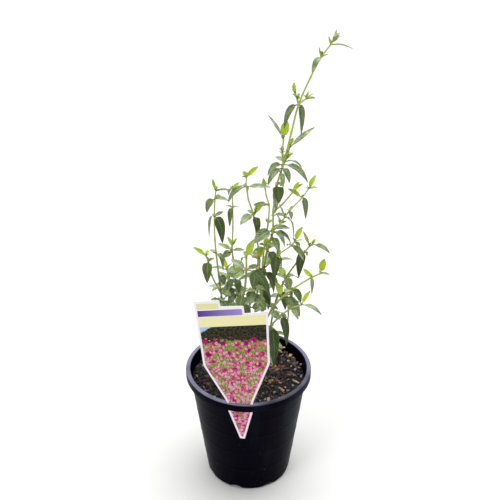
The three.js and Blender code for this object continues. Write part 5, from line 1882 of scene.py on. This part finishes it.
PETALS = (
    (6.0, -17.0, 4.2, -3.6, 3.6, 4.6), (8.2, -24.6, 3.6, -1.6, 4.4, 4.2),
    (4.2, -19.6, -1.6, -3.4, 3.4, 4.0), (-4.8, -24.0, -3.2, -1.2, 3.2, 3.6),
)

flake_shape = bmesh.new()
tints = flake_shape.verts.layers.float.new("tint")
for x, y, length, width, thick, azimuth, tilt, tint, finish in BARK_FLAKES:
    lie = Matrix.Translation(Vector((x, y, SOIL_TOP + lump_height(x, y) + FLAKE_LIFT)) * MM)
    lie @= Matrix.Rotation(math.radians(azimuth), 4, "Z") @ Matrix.Rotation(math.radians(tilt), 4, "X")
    lie @= Matrix.Diagonal(Vector((length, width, thick)) * MM).to_4x4()
    corners = bmesh.ops.create_cube(flake_shape, size=1, matrix=lie)["verts"]
    for corner in corners:
        corner[tints] = tint
    for face in {f for corner in corners for f in corner.link_faces}:
        face.material_index = finish
bmesh.ops.subdivide_edges(flake_shape, edges=flake_shape.edges, cuts=FLAKE_CUTS, use_grid_fill=True)
# Left unseeded, this noise differs from run to run
noise.seed_set(FLAKE_SEED)
for vertex in flake_shape.verts:
    vertex.co += noise.noise_vector(vertex.co / (FLAKE_GRAIN * MM)) * FLAKE_WEAR * MM
flake_mesh = as_mesh("bark_flakes", flake_shape)
flake_mesh.materials.append(litter_material("red_brown_bark", "#2c120b", "#6b3019", "#b0602c", 0.6, 0.9))
flake_mesh.materials.append(litter_material("tan_bark", "#4d3a28", "#8c6c4c", "#c9a679", 0.6, 0.9))
flakes = new_piece("bark_flakes", flake_mesh)

twig_points, twig_edges, twig_girths = [], [], []
for girth, path in TWIGS:
    for number, (x, y) in enumerate(path):
        twig_points.append(Vector((x, y, SOIL_TOP + lump_height(x, y) + TWIG_LIFT)) * MM)
        twig_girths.append(girth * (1 - TWIG_TAPER * number) * MM)
        if number:
            twig_edges.append((len(twig_points) - 2, len(twig_points) - 1))
twig_mesh = bpy.data.meshes.new("dry_twigs")
twig_mesh.from_pydata(twig_points, twig_edges, [])
twig_mesh.attributes.new("girth", "FLOAT", "POINT").data.foreach_set("value", twig_girths)
twig_tints = [TWIG_TINT for _ in twig_points]
twig_mesh.attributes.new("tint", "FLOAT", "POINT").data.foreach_set("value", twig_tints)
twigs = new_piece("dry_twigs", twig_mesh)
dry_twig = litter_material("dry_twig", "#2a1a12", "#6d4430", "#a9744a", 0.7, 1.5)
use_tree(twigs, square_stalks, corner=0.6, finish=dry_twig)
for piece in (flakes, twigs):
    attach(piece, "root")

seedling_stalk = new_piece("seedling_stalk", stalk_lines("seedling_stalk", [
    {"girth": (0.7, 0.5), "path": SEEDLING_PATH},
]))
use_tree(seedling_stalk, square_stalks, corner=STALK_CORNER, finish=downy_stalk)
seedling_leaves = new_piece("seedling_leaves", blade_points("seedling_leaves", [
    leaf_row(Vector(SEEDLING_PATH[-1]), Vector((x, y, z)), width, turn=0, tone=0.5, youth=0.9)
    for x, y, z, width in SEEDLING_LEAVES
]))
use_tree(
    seedling_leaves, leaf_blades, rows=12, columns=7, teeth=3.0, tooth_depth=0.05, petiole_share=0.2,
    petiole_width=0.7 * MM, thickness=0.4 * MM, fold=0.4, ripple=0.05, finish=downy_leaf,
)

# Petals lie where they fell, on the first leaf below them
leaf_mesh = bpy.data.objects["front_stem_leaves"].data
leaf_skin = BVHTree.FromPolygons(
    [v.co for v in leaf_mesh.vertices], [p.vertices for p in leaf_mesh.polygons],
)
petal_rows = []
for x, y, reach_x, reach_y, reach_z, width in PETALS:
    landed = leaf_skin.ray_cast(Vector((x, y, PETAL_FALL)) * MM, Vector((0, 0, -1)))[0]
    base = landed / MM + Vector((0, 0, PETAL_LIFT))
    reach = Vector((reach_x, reach_y, reach_z))
    petal_rows.append(leaf_row(base, reach, width, turn=0, tone=0, youth=1))
petals = new_piece("shed_petals", blade_points("shed_petals", petal_rows))

# Petal: thin, salmon pink, paler at its base
petal_skin = new_material("salmon_petal")
tree = petal_skin.node_tree
along = add_node(tree, "ShaderNodeAttribute", attribute_name="share").outputs["Fac"]
petal_colour = add_node(tree, "ShaderNodeMix", {
    "Factor": along, "A": linear("#eebfae"), "B": linear("#e8806f"),
}, data_type="RGBA")
petal = add_node(tree, "ShaderNodeBsdfPrincipled", {
    "Base Color": petal_colour, "Roughness": 0.55, "Subsurface Weight": 0.2, "Subsurface Scale": MM,
})
add_node(tree, "ShaderNodeOutputMaterial", {"Surface": petal})
use_tree(
    petals, leaf_blades, rows=12, columns=7, teeth=1.0, tooth_depth=0.0, petiole_share=0.05,
    petiole_width=0.8 * MM, thickness=0.3 * MM, fold=0.5, ripple=0.2, finish=petal_skin,
)
for piece in (seedling_stalk, seedling_leaves, petals):
    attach(piece, "root")
